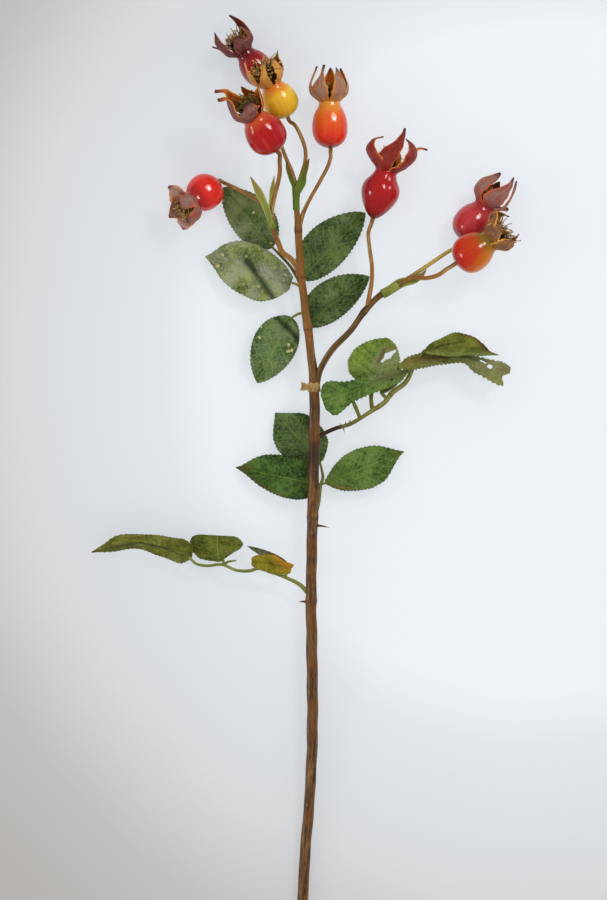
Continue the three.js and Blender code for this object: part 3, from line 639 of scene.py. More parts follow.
def unit(rows: Rows) -> Rows:
    """Rows scaled to length 1."""
    return rows / np.maximum(np.linalg.norm(rows, axis=-1, keepdims=True), 1e-12)


def smooth_step(values: Rows, low: float, high: float) -> Rows:
    """0 up to low, 1 from high, and smooth between."""
    share = np.clip((values - low) / (high - low), 0, 1)
    return share * share * (3 - 2 * share)


def spans(line: Rows) -> Rows:
    """The length of each span between two points of a line."""
    return np.linalg.norm(np.diff(line[:, :3], axis=0), axis=1)


def gone_by(line: Rows) -> Rows:
    """How far along a line each of its points is."""
    return np.concatenate([[0], np.cumsum(spans(line))])


def side_angles(sides: int) -> Rows:
    """The angle of each side of a ring."""
    return np.linspace(0, 2 * np.pi, sides, endpoint=False)


def blade_grid(rows: int, cols: int) -> tuple[Rows, Rows]:
    """Shares along a blade, as a column, and from -1 to 1 across it, as a row."""
    return np.linspace(0, 1, rows)[:, None], np.linspace(-1, 1, cols)[None]


def smooth_line(points: Iterable[Sequence[float]], count: int) -> Rows:
    """A smooth line through points, evenly spaced.

    Args:
        points: Rows of x, y, z and any numbers that go with them.
        count: How many rows to return.

    Returns:
        The line's rows, with the numbers that go with them.
    """
    rows = np.array(list(points), float)
    rows = np.vstack([2 * rows[0] - rows[1], rows, 2 * rows[-1] - rows[-2]])
    knots = np.concatenate([[0], np.cumsum(np.sqrt(spans(rows)))])
    found = []
    for i in range(len(rows) - 3):
        (a, b, c, d), (p, q, r, s) = knots[i : i + 4], rows[i : i + 4]
        t = np.linspace(b, c, SPAN_STEPS, endpoint=False)[:, None]
        pq = ((b - t) * p + (t - a) * q) / (b - a)
        qr = ((c - t) * q + (t - b) * r) / (c - b)
        rs = ((d - t) * r + (t - c) * s) / (d - c)
        left = ((c - t) * pq + (t - a) * qr) / (c - a)
        right = ((d - t) * qr + (t - b) * rs) / (d - b)
        found.append(((c - t) * left + (t - b) * right) / (c - b))
    line = np.vstack([*found, rows[-2][None]])
    gone = gone_by(line)
    places = np.linspace(0, gone[-1], count)
    return np.column_stack([np.interp(places, gone, line[:, k]) for k in range(line.shape[1])])


def carried_sides(line: Rows) -> tuple[Rows, Rows]:
    """Two directions across a line, carried along it without twist.

    Args:
        line: The line's points.

    Returns:
        Both directions, at each point.
    """
    tangents = unit(np.gradient(line, axis=0))
    start = np.array([0.0, 0.0, 1.0]) if abs(tangents[0][2]) < 0.9 else np.array([1.0, 0.0, 0.0])
    sides = []
    for tangent in tangents:
        start = unit(start - (start @ tangent) * tangent)
        sides.append(start)
    first = np.array(sides)
    return first, np.cross(tangents, first)


@dataclass
class Skin:
    """A surface's corners in millimetres, its faces, and what its finishes read at each corner."""

    corners: Rows
    faces: list[tuple[int, ...]]
    places: Rows
    marks: Rows
    slots: list[int]


def joined(skins: Iterable[Skin]) -> Skin:
    """Many skins as one.

    Args:
        skins: The skins, in order.

    Returns:
        The one skin.
    """
    parts = list(skins)
    offsets = np.cumsum([0] + [len(s.corners) for s in parts])
    faces = [tuple(k + int(o) for k in face) for s, o in zip(parts, offsets) for face in s.faces]
    return Skin(
        np.vstack([s.corners for s in parts]), faces, np.vstack([s.places for s in parts]),
        np.vstack([s.marks for s in parts]), [slot for s in parts for slot in s.slots],
    )


def ring_quads(rings: int, sides: int, inward: bool = False) -> list[tuple[int, ...]]:
    """The quads between rings of corners.

    Args:
        rings: How many rings follow each other.
        sides: How many corners each has.
        inward: Whether the rings run clockwise about the way that they follow.

    Returns:
        The faces.
    """
    i, j = np.meshgrid(np.arange(rings - 1), np.arange(sides), indexing="ij")
    a, b = (i * sides + j).ravel(), (i * sides + (j + 1) % sides).ravel()
    corners = (a, a + sides, b + sides, b) if inward else (a, b, b + sides, a + sides)
    return [tuple(face) for face in np.stack(corners, 1).tolist()]


def tube(
    line: Rows, radii: Rows, sides: int, marks: Rows | None = None, places: Rows | None = None,
    cap_slot: int | None = None,
) -> Skin:
    """A round skin along a line, closed at both ends.

    Args:
        line: The centre line's points.
        radii: A radius for each point, or for each point and side.
        sides: How many corners go round.
        marks: What the finish's marks read along the line, if anything.
        places: The finish's places along the line; by default they unroll the stem in millimetres.
        cap_slot: The finish of the first end, if it has its own.

    Returns:
        The skin.
    """
    first, second = carried_sides(line)
    angles = side_angles(sides)
    size = np.broadcast_to(
        radii if np.ndim(radii) == 2 else np.asarray(radii)[:, None], (len(line), sides)
    )
    ring = (
        np.cos(angles)[None, :, None] * first[:, None]
        + np.sin(angles)[None, :, None] * second[:, None]
    )
    corners = (line[:, None] + ring * size[..., None]).reshape(-1, 3)
    gone = gone_by(line)
    if places is None:
        gone = np.broadcast_to(gone[:, None], size.shape)
        turned = [np.cos(angles)[None] * size, gone, np.sin(angles)[None] * size]
        spots = np.stack(turned, axis=-1).reshape(-1, 3) + line[0] * 0.7
    else:
        spots = np.repeat(places, sides, axis=0)
    mark = np.repeat(np.zeros((len(line), 3)) if marks is None else marks, sides, axis=0)
    faces = ring_quads(len(line), sides)
    last = (len(line) - 1) * sides
    slots = [0] * (len(faces) + 1)
    if cap_slot is None:
        faces += [tuple(range(sides - 1, -1, -1)), tuple(range(last, last + sides))]
        return Skin(corners, faces, spots, mark, [*slots, 0])
    middle = len(corners)
    rim = middle + 1 + np.arange(sides)
    corners = np.vstack([corners, line[0][None], corners[:sides]])
    spots = np.vstack([spots, np.zeros((1, 3)), np.tile([1.0, 0, 0], (sides, 1))])
    mark = np.vstack([mark, np.zeros((sides + 1, 3))])
    faces.append(tuple(range(last, last + sides)))
    faces += [(middle, int(rim[(k + 1) % sides]), int(rim[k])) for k in range(sides)]
    return Skin(corners, faces, spots, mark, slots + [cap_slot] * sides)


def sheet(
    middle: Rows, normal: Rows, thickness: Rows, places: Rows, marks: Rows,
    kept: Rows | None = None, slots: tuple[int, int] = (0, 1),
) -> Skin:
    """A thin blade with two faces and walls round its border and its holes.

    Args:
        middle: The grid of its middle surface: along the blade, then across to the left.
        normal: The direction of its upper face, at each point.
        thickness: Its thickness at each point.
        places: What the finishes' places read.
        marks: What the finishes' marks read.
        kept: Which cells of the grid there are; all by default.
        slots: The finishes of the upper and under faces.

    Returns:
        The skin.
    """
    rows, cols = middle.shape[:2]
    half = normal * (thickness[..., None] / 2)
    corners = np.vstack([(middle + half).reshape(-1, 3), (middle - half).reshape(-1, 3)])
    count = rows * cols
    kept = np.ones((rows - 1, cols - 1), bool) if kept is None else kept
    i, j = np.nonzero(kept)
    a, b = i * cols + j, (i + 1) * cols + j
    c, d = b + 1, a + 1
    upper = np.stack([a, b, c, d], 1)
    under = np.stack([d, c, b, a], 1) + count
    walls = []
    framed = np.pad(kept, 1)
    for here, beside in (
        ((a, b), framed[1:-1, :-2][kept]), ((b, c), framed[2:, 1:-1][kept]),
        ((c, d), framed[1:-1, 2:][kept]), ((d, a), framed[:-2, 1:-1][kept]),
    ):
        p, q = here[0][~beside], here[1][~beside]
        walls.append(np.stack([q, p, p + count, q + count], 1))
    wall = np.vstack(walls)
    faces = [tuple(f) for f in np.vstack([upper, under, wall]).tolist()]
    kinds = [slots[0]] * len(upper) + [slots[1]] * (len(under) + len(wall))
    spots = places.reshape(-1, 3)
    mark = marks.reshape(-1, 3)
    return Skin(corners, faces, np.vstack([spots, spots]), np.vstack([mark, mark]), kinds)


def smooth_object(
    name: str, corners: Rows, faces: Sequence, finishes: Iterable["Finish"]
) -> bpy.types.Object:
    """A smooth-shaded object in the scene.

    Args:
        name: Its name, and its mesh's.
        corners: Its corners, in metres.
        faces: The corners of each face.
        finishes: Its materials, in the order of its slots.

    Returns:
        The object.
    """
    mesh = bpy.data.meshes.new(name)
    mesh.from_pydata(corners.tolist(), [], faces)
    for finish in finishes:
        mesh.materials.append(dress(finish))
    mesh.polygons.foreach_set("use_smooth", [True] * len(mesh.polygons))
    made = bpy.data.objects.new(name, mesh)
    bpy.context.scene.collection.objects.link(made)
    return made


@dataclass
class Piece:
    """One piece of the sprig: what it is made of, and the solid that it stands for."""

    name: str
    node: str
    slot: str
    finishes: tuple[Finish, ...]
    sharp: float = 180.0

    def place(self, skin: Skin) -> bpy.types.Object:
        """Makes the piece from its skin, in the frame.

        Args:
            skin: The piece's surface.

        Returns:
            The object.
        """
        piece = smooth_object(self.name, (skin.corners + TO_FRAME) * MM, skin.faces, self.finishes)
        mesh = piece.data
        for name, rows in (("place", skin.places), ("marks", skin.marks)):
            layer = mesh.attributes.new(name, "FLOAT_VECTOR", "POINT")
            layer.data.foreach_set("vector", rows.ravel())
        mesh.polygons.foreach_set("material_index", skin.slots)
        if self.sharp < 180:
            mesh.set_sharp_from_angle(angle=math.radians(self.sharp))
        mesh.update()
        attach(piece, "root")
        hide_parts(self.node)
        log.info("%s stands for %s: %d faces", self.name, self.node, len(mesh.polygons))
        return piece


# ---- Stems ----

BARK = StemFinish(
    "bark", (46, 24, 6), (88, 55, 20), (136, 100, 52), (118, 68, 16), roughness=0.34, relief=0.26
)
TWIG = StemFinish(
    "twig", (102, 60, 20), (142, 98, 40), (188, 152, 88), (158, 100, 38), roughness=0.36,
    relief=0.12,
)
SHOOT = StemFinish(
    "shoot", (46, 28, 8), (88, 64, 28), (132, 102, 52), (106, 72, 24), relief=0.14,
    young=(210, 184, 84),
)
RACHIS = StemFinish(
    "rachis", (88, 92, 24), (122, 128, 52), (150, 152, 88), (118, 124, 42), (160, 158, 104), 0.45,
    0.1,
)
RACHIS_DARK = StemFinish(
    "rachis_dark", (80, 78, 18), (116, 116, 40), (146, 144, 70), (100, 98, 26), (150, 146, 92), 0.4,
    0.12,
)


def cane_height(y: float) -> float:
    """The cane's centre line above the table, at a place along it."""
    return CANE_LOW_Z + CANE_RISE * (y - CANE_LOW_Y)


@dataclass
class Thorn:
    """A thorn on a stem: where it stands, the way it points, its length and its foot's radius."""

    foot: Point
    way: Point
    length: float
    radius: float
    droop: float = 0.15

    def skin(self) -> Skin:
        """A hooked cone with a spread foot.

        Returns:
            The thorn's skin.
        """
        way = unit(np.array(self.way, float))
        foot = np.array(self.foot, float)
        drop = np.array([0.0, -self.droop * self.length, 0.0])
        share = np.array([-0.12, 0.0, 0.12, 0.3, 0.55, 0.8, 1.0])
        line = np.array([foot + way * self.length * s + drop * max(s, 0) ** 2 for s in share])
        radii = self.radius * np.array([1.5, 1.25, 0.85, 0.62, 0.42, 0.24, 0.06])
        marks = np.zeros((len(share), 3))
        marks[:, 0] = smooth_step(share, 0.5, 1.0)
        return tube(line, radii, 10, marks)


@dataclass
class Stem:
    """A tapering stem with swollen nodes, ridges and thorns."""

    piece: Piece
    points: list[Point]
    step: float = 1.1
    sides: int = 18
    nodes: tuple[float, ...] = ()
    swelling: float = 0.4
    ridges: float = 0.05
    thorns: tuple[Thorn, ...] = ()
    branches: tuple[list[Point], ...] = ()
    cut: bool = False
    browned: float = 0.0  # the share of its length that is brown, from its start
    young: tuple[float, float] = (300.0, 400.0)  # the stretch of Y over which it turns young
    stain_at: float = 3.0  # the Y of a cut cane's browned patch
    seed: int = 1

    def _limb(self, points: list[Point], seed: int, cut: bool) -> Skin:
        """One tapering limb with its relief.

        Args:
            points: Its centre line, with a radius for each point.
            seed: Its own ridges.
            cut: Whether its first end shows cut wood.

        Returns:
            The limb's skin.
        """
        rough = smooth_line(points, 40)
        length = spans(rough).sum()
        line = smooth_line(points, max(8, int(length / self.step)))
        rng = np.random.default_rng(seed)
        angle = side_angles(self.sides)[None]
        along = np.linspace(0, length, len(line))[:, None]
        relief = np.zeros((len(line), self.sides))
        for k in range(7):
            turns, pace = rng.integers(1, 6), rng.uniform(0.03, 0.35)
            relief += np.sin(turns * angle + pace * along + rng.uniform(0, 6.3)) / (1.5 + 0.6 * k)
        swell = np.zeros((len(line), 1))
        rings = np.zeros((len(line), 1))
        for y in self.nodes:
            away = (line[:, 1] - y)[:, None]
            swell += np.exp(-((away / 2.6) ** 2)) + 0.6 * np.exp(-(((away + 0.4) / 0.6) ** 2))
            rings += np.exp(-(((away + 1.0) / 0.5) ** 2))
        radii = line[:, 3:4] * (1 + self.ridges * relief) + self.swelling * swell
        marks = np.zeros((len(line), 3))
        marks[:, 0] = rings[:, 0]
        if self.browned and points is self.points:
            ends = self.browned - 0.04, self.browned + 0.04
            marks[:, 1] = 1 - smooth_step(along[:, 0] / length, *ends)
        if cut:
            marks[:, 1] = 0.85 * np.exp(-(((line[:, 1] - self.stain_at) / 8) ** 2))
        marks[:, 2] = smooth_step(line[:, 1], *self.young)
        return tube(line[:, :3], radii, self.sides, marks, cap_slot=1 if cut else None)

    def build(self) -> bpy.types.Object:
        """The stem, its branches and its thorns as one piece.

        Returns:
            The object.
        """
        limbs = [self._limb(self.points, self.seed, self.cut)]
        limbs += [self._limb(b, self.seed + k + 1, False) for k, b in enumerate(self.branches)]
        return self.piece.place(joined(limbs + [t.skin() for t in self.thorns]))


def cane_point(x: float, y: float, radius: float) -> Point:
    """A point of the cane's centre line, and its radius there."""
    return (x, y, cane_height(y), radius)


CANE = [
    cane_point(-1, CANE_LOW_Y, 2.75), cane_point(0.3, -197, 2.7), cane_point(2.6, -168, 2.65),
    cane_point(4, -135, 2.75), cane_point(3.8, -102, 2.8), cane_point(3.3, -69, 2.7),
    cane_point(4.1, -25, 2.7), cane_point(5, 18, 2.7), cane_point(4.8, 38, 2.5),
    cane_point(3.4, 53, 2.1), cane_point(0.4, 76, 2.05), cane_point(-2, 96, 1.85),
    cane_point(-3.1, 116, 1.75), cane_point(-4, 128, 1.3), cane_point(-4, 139, 1.3),
]
LEFT_SHOOT: list[Point] = [
    (-2.5, 93, 16.9, 1.6), (-4.3, 97.8, 17.4, 1.4), (-7.2, 101.6, 18.2, 1.35),
    (-11, 104.5, 19.2, 1.3), (-13.4, 110, 20.3, 1.25), (-16, 116.5, 21.4, 1.2),
    (-17, 123.3, 22, 1.2),
]
RIGHT_SHOOT: list[Point] = [
    (5.6, 38, 14.5, 1.9), (7.8, 45.7, 15.4, 1.6), (13.7, 55.7, 16.2, 1.55), (23.3, 65.8, 16.5, 1.5),
    (30.2, 75.2, 16.3, 1.5), (37.7, 83, 15.9, 1.4), (42.7, 85.6, 15.6, 1.3), (50, 90.4, 15, 1.15),
    (60.3, 97.2, 13.4, 1), (70, 103.8, 11.2, 1), (78.6, 110.6, 9.4, 0.95),
]
STALKS: dict[str, list[Point]] = {
    "back_red": [
        (-4.3, 138, 18.8, 1.1), (-6.7, 145.7, 18, 1.05), (-9.3, 151.8, 16.6, 1),
        (-12.4, 160.5, 13.6, 1), (-15.4, 172, 9.8, 0.95), (-17.6, 184, 7.2, 0.95),
        (-18.6, 190.4, 6.4, 0.9),
    ],
    "yellow": [
        (-3, 138.4, 18.9, 1.15), (-1.1, 144.4, 19.2, 1.1), (0.4, 150, 19.3, 1.05),
        (0.4, 155.5, 19.2, 1), (-1.4, 161.5, 18.9, 1), (-5, 168.3, 18.3, 0.95),
        (-8.3, 172.6, 18, 0.95),
    ],
    "front_red": [
        (-16.9, 122.5, 22.2, 1.15), (-15.6, 129.3, 23.6, 1.15), (-13.9, 136, 25.2, 1.1),
        (-12.3, 144, 27.2, 1.1), (-12.4, 150, 28.6, 1.1), (-14, 155.4, 29.5, 1.1),
    ],
    "orange": [
        (-2.8, 115.5, 17.9, 1.2), (-1.1, 122.8, 17.8, 1.1), (2, 129.8, 17.2, 1),
        (8.6, 141.6, 15.4, 0.95), (12, 148.4, 14, 0.95), (13.2, 153, 13, 0.95),
        (13.2, 157.4, 12.6, 0.95),
    ],
    "left_red": [
        (-17, 122.5, 22, 1.15), (-21.2, 128.4, 21, 1.1), (-27.3, 132.8, 18.4, 1.05),
        (-34.5, 136.7, 14.4, 1), (-40.4, 139.6, 10.6, 0.95), (-44.6, 141.3, 7.4, 0.9),
    ],
    "crimson": [
        (31.2, 75.8, 16.2, 1.3), (32.4, 82.6, 16, 1.15), (33.6, 90, 15.4, 1.1),
        (33.7, 98, 14.6, 1.05), (32.5, 107, 13.6, 1), (32, 114.5, 12.8, 1), (33.6, 121.6, 12.4, 1),
    ],
    "amber": [
        (48.8, 89.4, 15.1, 1.2), (53.3, 91.9, 16, 1.15), (60.5, 91.6, 18, 1.1), (66.6, 93, 20, 1.1),
        (71, 96, 21.6, 1.05), (75.6, 98.8, 22.6, 1),
    ],
}


# ---- Hips ----


class Bend(Enum):
    """How a sepal bends: rows of how far out from the hip's axis and along it, in millimetres."""

    CUPPED = ((8.6, 3.4), (9.3, 7), (7.6, 11.6), (5.8, 16))
    UPRIGHT = ((8.2, 3.6), (8.8, 8), (8, 13.5), (6, 19))
    FLARED = ((8.6, 3.4), (10, 7.6), (11.4, 12), (14.6, 16.5))
    CURLED = ((8.8, 3.6), (10.4, 9), (12.6, 14), (17, 14.6))
    HOOKED = ((8.8, 3.4), (9.8, 7.4), (8.6, 11.2), (5.6, 11.8))
    FOLDED = ((8.6, 3.4), (9.2, 7), (6.6, 9.8), (2.4, 11))
    SPREAD = ((8.6, 2.8), (12, 4.2), (15, 6), (17.6, 9))
    POINTED = ((8.2, 3.4), (8.8, 6.8), (7.8, 10), (6.4, 13.4))
    SCROLLED = ((8.4, 4.2), (7.6, 10), (6, 15), (10, 17.4))
    HORNED = ((9.2, 3.2), (12, 8), (10.6, 12.8), (6, 15.6))


CUPPED, UPRIGHT, FLARED, CURLED, HOOKED, FOLDED, SPREAD, POINTED, SCROLLED, HORNED = Bend

BROAD = (5.2, 4.9, 2.7, 0.35)
STRAP = (4.6, 3.6, 2.5, 1.3)
SLENDER = (4.4, 3.0, 1.6, 0.3)
SPIRED = (5.3, 4.6, 1.5, 0.7)


@dataclass
class Sepal:
    """One dried sepal on a hip's neck, at an azimuth about its axis: 90 is uppermost."""

    azimuth: float
    bend: Bend
    scale: float
    width: float = 1.0
    swing: float = 0.0  # how far its tip turns about the axis, in degrees
    curl: float = 0.0  # how far its edges roll, outwards if positive
    widths: tuple[float, ...] = BROAD  # half widths along it, in millimetres

    def skin(self, neck: float, seed: int) -> Skin:
        """The sepal's blade in the hip's own directions.

        Args:
            neck: The neck's radius, from which it grows.
            seed: Its own waves.

        Returns:
            The blade, with its outer face first.
        """
        rng = np.random.default_rng(seed)
        foot = np.array([4.8, 1.0])
        bends = foot + (np.array(self.bend.value) - foot) * self.scale
        path = [(neck - 0.7, -0.9, 0, 3.3), (neck + 0.35, 0.6, 0, 3.9)]
        path += [(r, y, 0, w) for (r, y), w in zip(bends, self.widths)]
        rows, cols = 52, 21
        line = smooth_line(path, rows)
        t, u = blade_grid(rows, cols)
        tangent = unit(np.gradient(line[:, :2], axis=0))
        out, up = line[:, :1], line[:, 1:2]
        normal_out, normal_up = tangent[:, 1:2], -tangent[:, :1]
        late = smooth_step(t, 0.4, 1.0)
        ragged = 1 + 0.06 * np.sin(9 * t + rng.uniform(0, 6))
        ragged = ragged + 0.05 * np.sin(27 * t + rng.uniform(0, 6) + u)
        ragged = ragged + late * 0.09 * np.sin(17 * t + rng.uniform(0, 6) + 2 * u)
        half = line[:, 3:4] * self.width * ragged
        round_by = np.maximum(out, half * 0.9)
        angle = u * half / round_by
        sideways = round_by * np.sin(angle)
        inward = round_by * (1 - np.cos(angle)) * (1 - 0.5 * late)
        wave = 0.45 * np.sin(7 * t + 2 * u + rng.uniform(0, 6))
        wave = wave * smooth_step(t, 0.15, 0.5) * np.abs(u)
        wave = wave + self.curl * late * np.abs(u) ** 2 * half * 0.5 + 0.42 * u * (1 - late)
        wave = wave + 0.25 * np.exp(-((u / 0.14) ** 2)) * (1 - smooth_step(t, 0.75, 1))
        wrinkles = np.sin(10 * u + 3 * np.sin(4 * t + rng.uniform(0, 6)))
        wave = wave + 0.09 * wrinkles * smooth_step(t, 0.1, 0.3)
        push = wave - inward
        azimuth = np.radians(self.azimuth + self.swing * smooth_step(t, 0.2, 1.0))[..., None]
        radial = np.cos(azimuth) * np.array([1.0, 0, 0]) + np.sin(azimuth) * np.array([0, 0, 1.0])
        around = np.cos(azimuth) * np.array([0, 0, 1.0]) - np.sin(azimuth) * np.array([1.0, 0, 0])
        axis = np.array([0.0, 1.0, 0.0])
        ones = np.ones((rows, cols))
        normal = (normal_out[..., None] * radial + normal_up[..., None] * axis) * ones[..., None]
        middle = out[..., None] * radial + up[..., None] * axis + sideways[..., None] * around
        middle = middle + normal * push[..., None]
        thickness = (0.58 - 0.32 * np.abs(u) ** 3) * (1 - 0.5 * smooth_step(t, 0.7, 1)) * ones
        places = np.stack([u + 0 * t, t + 0 * u, half * u], -1)
        return sheet(middle, normal, thickness, places, np.zeros((rows, cols, 3)))


@dataclass
class Hip:
    """A rose hip: its body, its crown of sepals and its tuft of stamens."""

    name: str
    base: Point  # where its stalk meets it
    axis: Point  # the way from there to its neck
    length: float
    radius: float  # at its widest
    skin_finish: HipFinish
    outer: SepalFinish
    inner: SepalFinish
    stamen: StamenFinish
    sepals: tuple[Sepal, ...]
    slots: tuple[str, str]  # of its body and its crown
    pear: bool = False
    rests: bool = False  # whether it lies on the table
    ribs: float = 0.02  # their height, as a share of the radius
    dents: tuple[Point, ...] = ()  # each one's azimuth, share along the hip, size and depth
    tuft_height: float = 9.0
    tuft_spread: float = 0.55  # how far the stamens lean out
    strands: int = 70
    seed: int = 1

    def outline(self) -> Rows:
        """Rows of share along the hip and radius share, from the stalk to the neck.

        Returns:
            The rows.
        """
        round_rows = (
            (0, 0.12), (0.03, 0.4), (0.12, 0.74), (0.27, 0.95), (0.45, 1), (0.62, 0.95),
            (0.78, 0.81), (0.91, 0.62),
        )
        pear_rows = (
            (0, 0.1), (0.05, 0.3), (0.17, 0.58), (0.36, 0.87), (0.55, 1), (0.7, 0.93), (0.84, 0.7),
            (0.94, 0.58),
        )
        return np.array([*(pear_rows if self.pear else round_rows), (1, NECK_SHARE)])

    def way(self) -> Rows:
        """The direction of its axis."""
        return unit(np.array(self.axis, float))

    def foot(self) -> Rows:
        """Where the stalk meets it: a hip that rests touches the table.

        Returns:
            The place.
        """
        base = np.array(self.base, float)
        if self.rests:
            way = self.way()
            level = math.hypot(way[0], way[1])
            shape = self.outline()
            base[2] = (shape[:, 1] * self.radius * level - shape[:, 0] * self.length * way[2]).max()
        return base

    def set_up(self, skin: Skin, along: float) -> Skin:
        """Turns a skin from the hip's own directions into the layout's.

        Args:
            skin: A skin whose +Y is the hip's axis.
            along: How far up the axis it starts.

        Returns:
            The skin in place.
        """
        way = self.way()
        level = unit(np.array([way[1], -way[0], 0]))
        basis = np.stack([level, way, np.cross(level, way)])
        skin.corners = skin.corners @ basis + self.foot() + way * along
        return skin

    def reach(self, points: list[Point]) -> list[Point]:
        """A stalk's points, with its end moved on to the hip's axis and into its foot.

        Args:
            points: The stalk's points.

        Returns:
            The points, ending in the hip.
        """
        way, foot = self.way(), self.foot()
        radius = points[-1][3]
        ends = [
            (*(foot - way * 3), radius), (*(foot - way * 0.5), radius * 1.15),
            (*(foot + way * 0.8), radius * 1.3),
        ]
        return [*points[:-1], *ends]

    def _body(self) -> Skin:
        """The hip's body: a lathed outline with soft ribs, dents and an uneven shoulder.

        Returns:
            The body's skin.
        """
        rows, sides = 72, 96
        shape = self.outline()
        profile = smooth_line([(y * self.length, r * self.radius, 0) for y, r in shape], rows)
        profile = np.vstack([[0.0, 0.3, 0], profile])
        along = profile[:, :1] / self.length
        angle = side_angles(sides)[None]
        rng = np.random.default_rng(self.seed)
        swell = np.zeros((rows + 1, sides))
        for k in range(5):
            phase = rng.uniform(0, 6.3)
            swell += 0.006 * np.sin((k + 1) * angle + phase + rng.uniform(-3, 3) * along)
        ribs = np.abs(np.sin(2.5 * angle + rng.uniform(0, 3) + 0.3 * along)) ** 0.6 - 0.75
        swell += self.ribs * ribs * smooth_step(along, 0.15, 0.6)
        for azimuth, place, size, deep in self.dents:
            turn = (angle - math.radians(azimuth) + np.pi) % (2 * np.pi) - np.pi
            swell -= deep * np.exp(-((turn / (size * 1.1)) ** 2) - ((along - place) / size) ** 2)
        neck = smooth_step(along, 0.86, 1.0)
        radii = profile[:, 1:2] * (1 + swell * (1 - 0.6 * neck))
        right, up = radii * np.cos(angle), radii * np.sin(angle)
        places = np.stack([right / self.radius, along + 0 * angle, up / self.radius], -1)
        ring = np.stack([right, profile[:, :1] + 0 * angle, up], -1)
        faces = ring_quads(rows + 1, sides, inward=True)
        last = rows * sides
        faces += [tuple(range(sides)), tuple(range(last + sides - 1, last - 1, -1))]
        marks = np.zeros(((rows + 1) * sides, 3))
        return Skin(ring.reshape(-1, 3), faces, places.reshape(-1, 3), marks, [0] * len(faces))

    def _tuft(self) -> Skin:
        """Dried stamens: curved filaments with anthers, crowded round a dark dome.

        Returns:
            The tuft's skin.
        """
        rng = np.random.default_rng(self.seed + 50)
        parts = [self._dome()]
        steps = 9
        for _ in range(self.strands):
            turn = rng.uniform(0, 2 * np.pi)
            start = TUFT_RADIUS * math.sqrt(rng.uniform(0.02, 1))
            height = self.tuft_height * rng.uniform(0.6, 1.08)
            spread = self.tuft_spread * rng.uniform(0.4, 1.3) * (start / TUFT_RADIUS)
            droop = rng.uniform(-0.5, 0.6)
            share = np.linspace(0, 1, steps)
            out = start + spread * height * 0.55 * share**1.6
            bent = turn + droop * share**2 + 0.35 * np.sin(5 * share + rng.uniform(0, 6)) * share
            hook = rng.uniform(0.0, 0.35) * smooth_step(share, 0.6, 1.0)
            rise = -0.4 + height * (share - 0.22 * max(spread, 0) * share**3 - hook)
            line = np.column_stack([out * np.cos(bent), rise, out * np.sin(bent)])
            own = rng.uniform(0, 1)
            places = np.column_stack([np.full(steps, own), share, np.zeros(steps)])
            parts.append(tube(line, np.linspace(0.3, 0.2, steps), 5, None, places))
            parts.append(self._anther(line[-1], unit(line[-1] - line[-2]), own, rng))
        return joined(parts)

    def _dome(self) -> Skin:
        """The tuft's dark heart: a rough dome.

        Returns:
            The dome's skin.
        """
        rows, sides, wide = 13, 26, 3.5
        turn = np.linspace(0, 1, rows - 1) * np.pi / 2
        rise = np.concatenate([[-0.8], 0.62 * self.tuft_height * np.sin(turn)])
        radii = np.concatenate([[wide], wide * np.cos(turn * 0.97) ** 0.5])[:, None]
        line = np.column_stack([0 * rise, rise, 0 * rise])
        rng = np.random.default_rng(self.seed + 90)
        radii = radii * (1 + 0.16 * rng.standard_normal((rows, sides)))
        places = np.tile([0.1, 0.1, 0.0], (rows, 1))
        return tube(line, np.maximum(radii, 0.1), sides, None, places)

    def _anther(self, tip: Rows, way: Rows, own: float, rng: np.random.Generator) -> Skin:
        """A small shrivelled anther on a filament's tip.

        Args:
            tip: The filament's tip.
            way: The way that it points.
            own: The strand's own tone.
            rng: The tuft's random draws.

        Returns:
            The anther's skin.
        """
        share = np.array([-0.25, 0.0, 0.35, 0.7, 1.0])
        size = rng.uniform(0.55, 1.05)
        bend = unit(rng.standard_normal(3)) * 0.35
        line = tip + way * (share[:, None] * size) + bend * (share[:, None] ** 2) * size
        radii = size * np.array([0.12, 0.34, 0.42, 0.34, 0.1])
        places = np.column_stack([np.full(5, own), np.ones(5), np.ones(5)])
        return tube(line, radii, 6, None, places)

    def build(self) -> list[bpy.types.Object]:
        """The body, the crown and the tuft.

        Returns:
            The three objects.
        """
        body = Piece(f"{self.name}_fruit", f"hip_{self.name}", self.slots[0], (self.skin_finish,))
        crown = Piece(
            f"{self.name}_sepals", f"calyx_{self.name}", self.slots[1], (self.outer, self.inner), 55
        )
        tuft = Piece(f"{self.name}_stamen_tuft", f"stamens_{self.name}", "stamen", (self.stamen,))
        neck = NECK_SHARE * self.radius
        blades = joined(s.skin(neck, self.seed * 10 + k) for k, s in enumerate(self.sepals))
        return [
            body.place(self.set_up(self._body(), 0)), crown.place(self.set_up(blades, self.length)),
            tuft.place(self.set_up(self._tuft(), self.length)),
        ]


MAUVE_OUTER = SepalFinish(
    "sepal_mauve", (112, 34, 18), (128, 86, 74), (128, 48, 32), (196, 92, 34), (60, 26, 14)
)
MAROON_OUTER = SepalFinish(
    "sepal_maroon", (92, 20, 14), (110, 58, 50), (104, 26, 20), (132, 48, 30), (44, 18, 10)
)
GREY_OUTER = SepalFinish(
    "sepal_grey_mauve", (150, 40, 24), (146, 108, 94), (168, 66, 44), (206, 88, 36), (70, 34, 18)
)
RED_OUTER = SepalFinish(
    "sepal_red", (132, 14, 12), (130, 30, 18), (156, 44, 22), (188, 92, 34), (72, 24, 12)
)
TAN_OUTER = SepalFinish(
    "sepal_tan", (196, 122, 30), (158, 128, 104), (178, 88, 52), (208, 130, 34), (84, 50, 14)
)
GOLD_OUTER = SepalFinish(
    "sepal_gold", (186, 124, 30), (214, 150, 70), (190, 122, 46), (214, 140, 32), (104, 58, 16)
)
BROWN_OUTER = SepalFinish(
    "sepal_brown", (134, 88, 12), (118, 78, 50), (170, 106, 24), (218, 156, 52), (48, 24, 6)
)
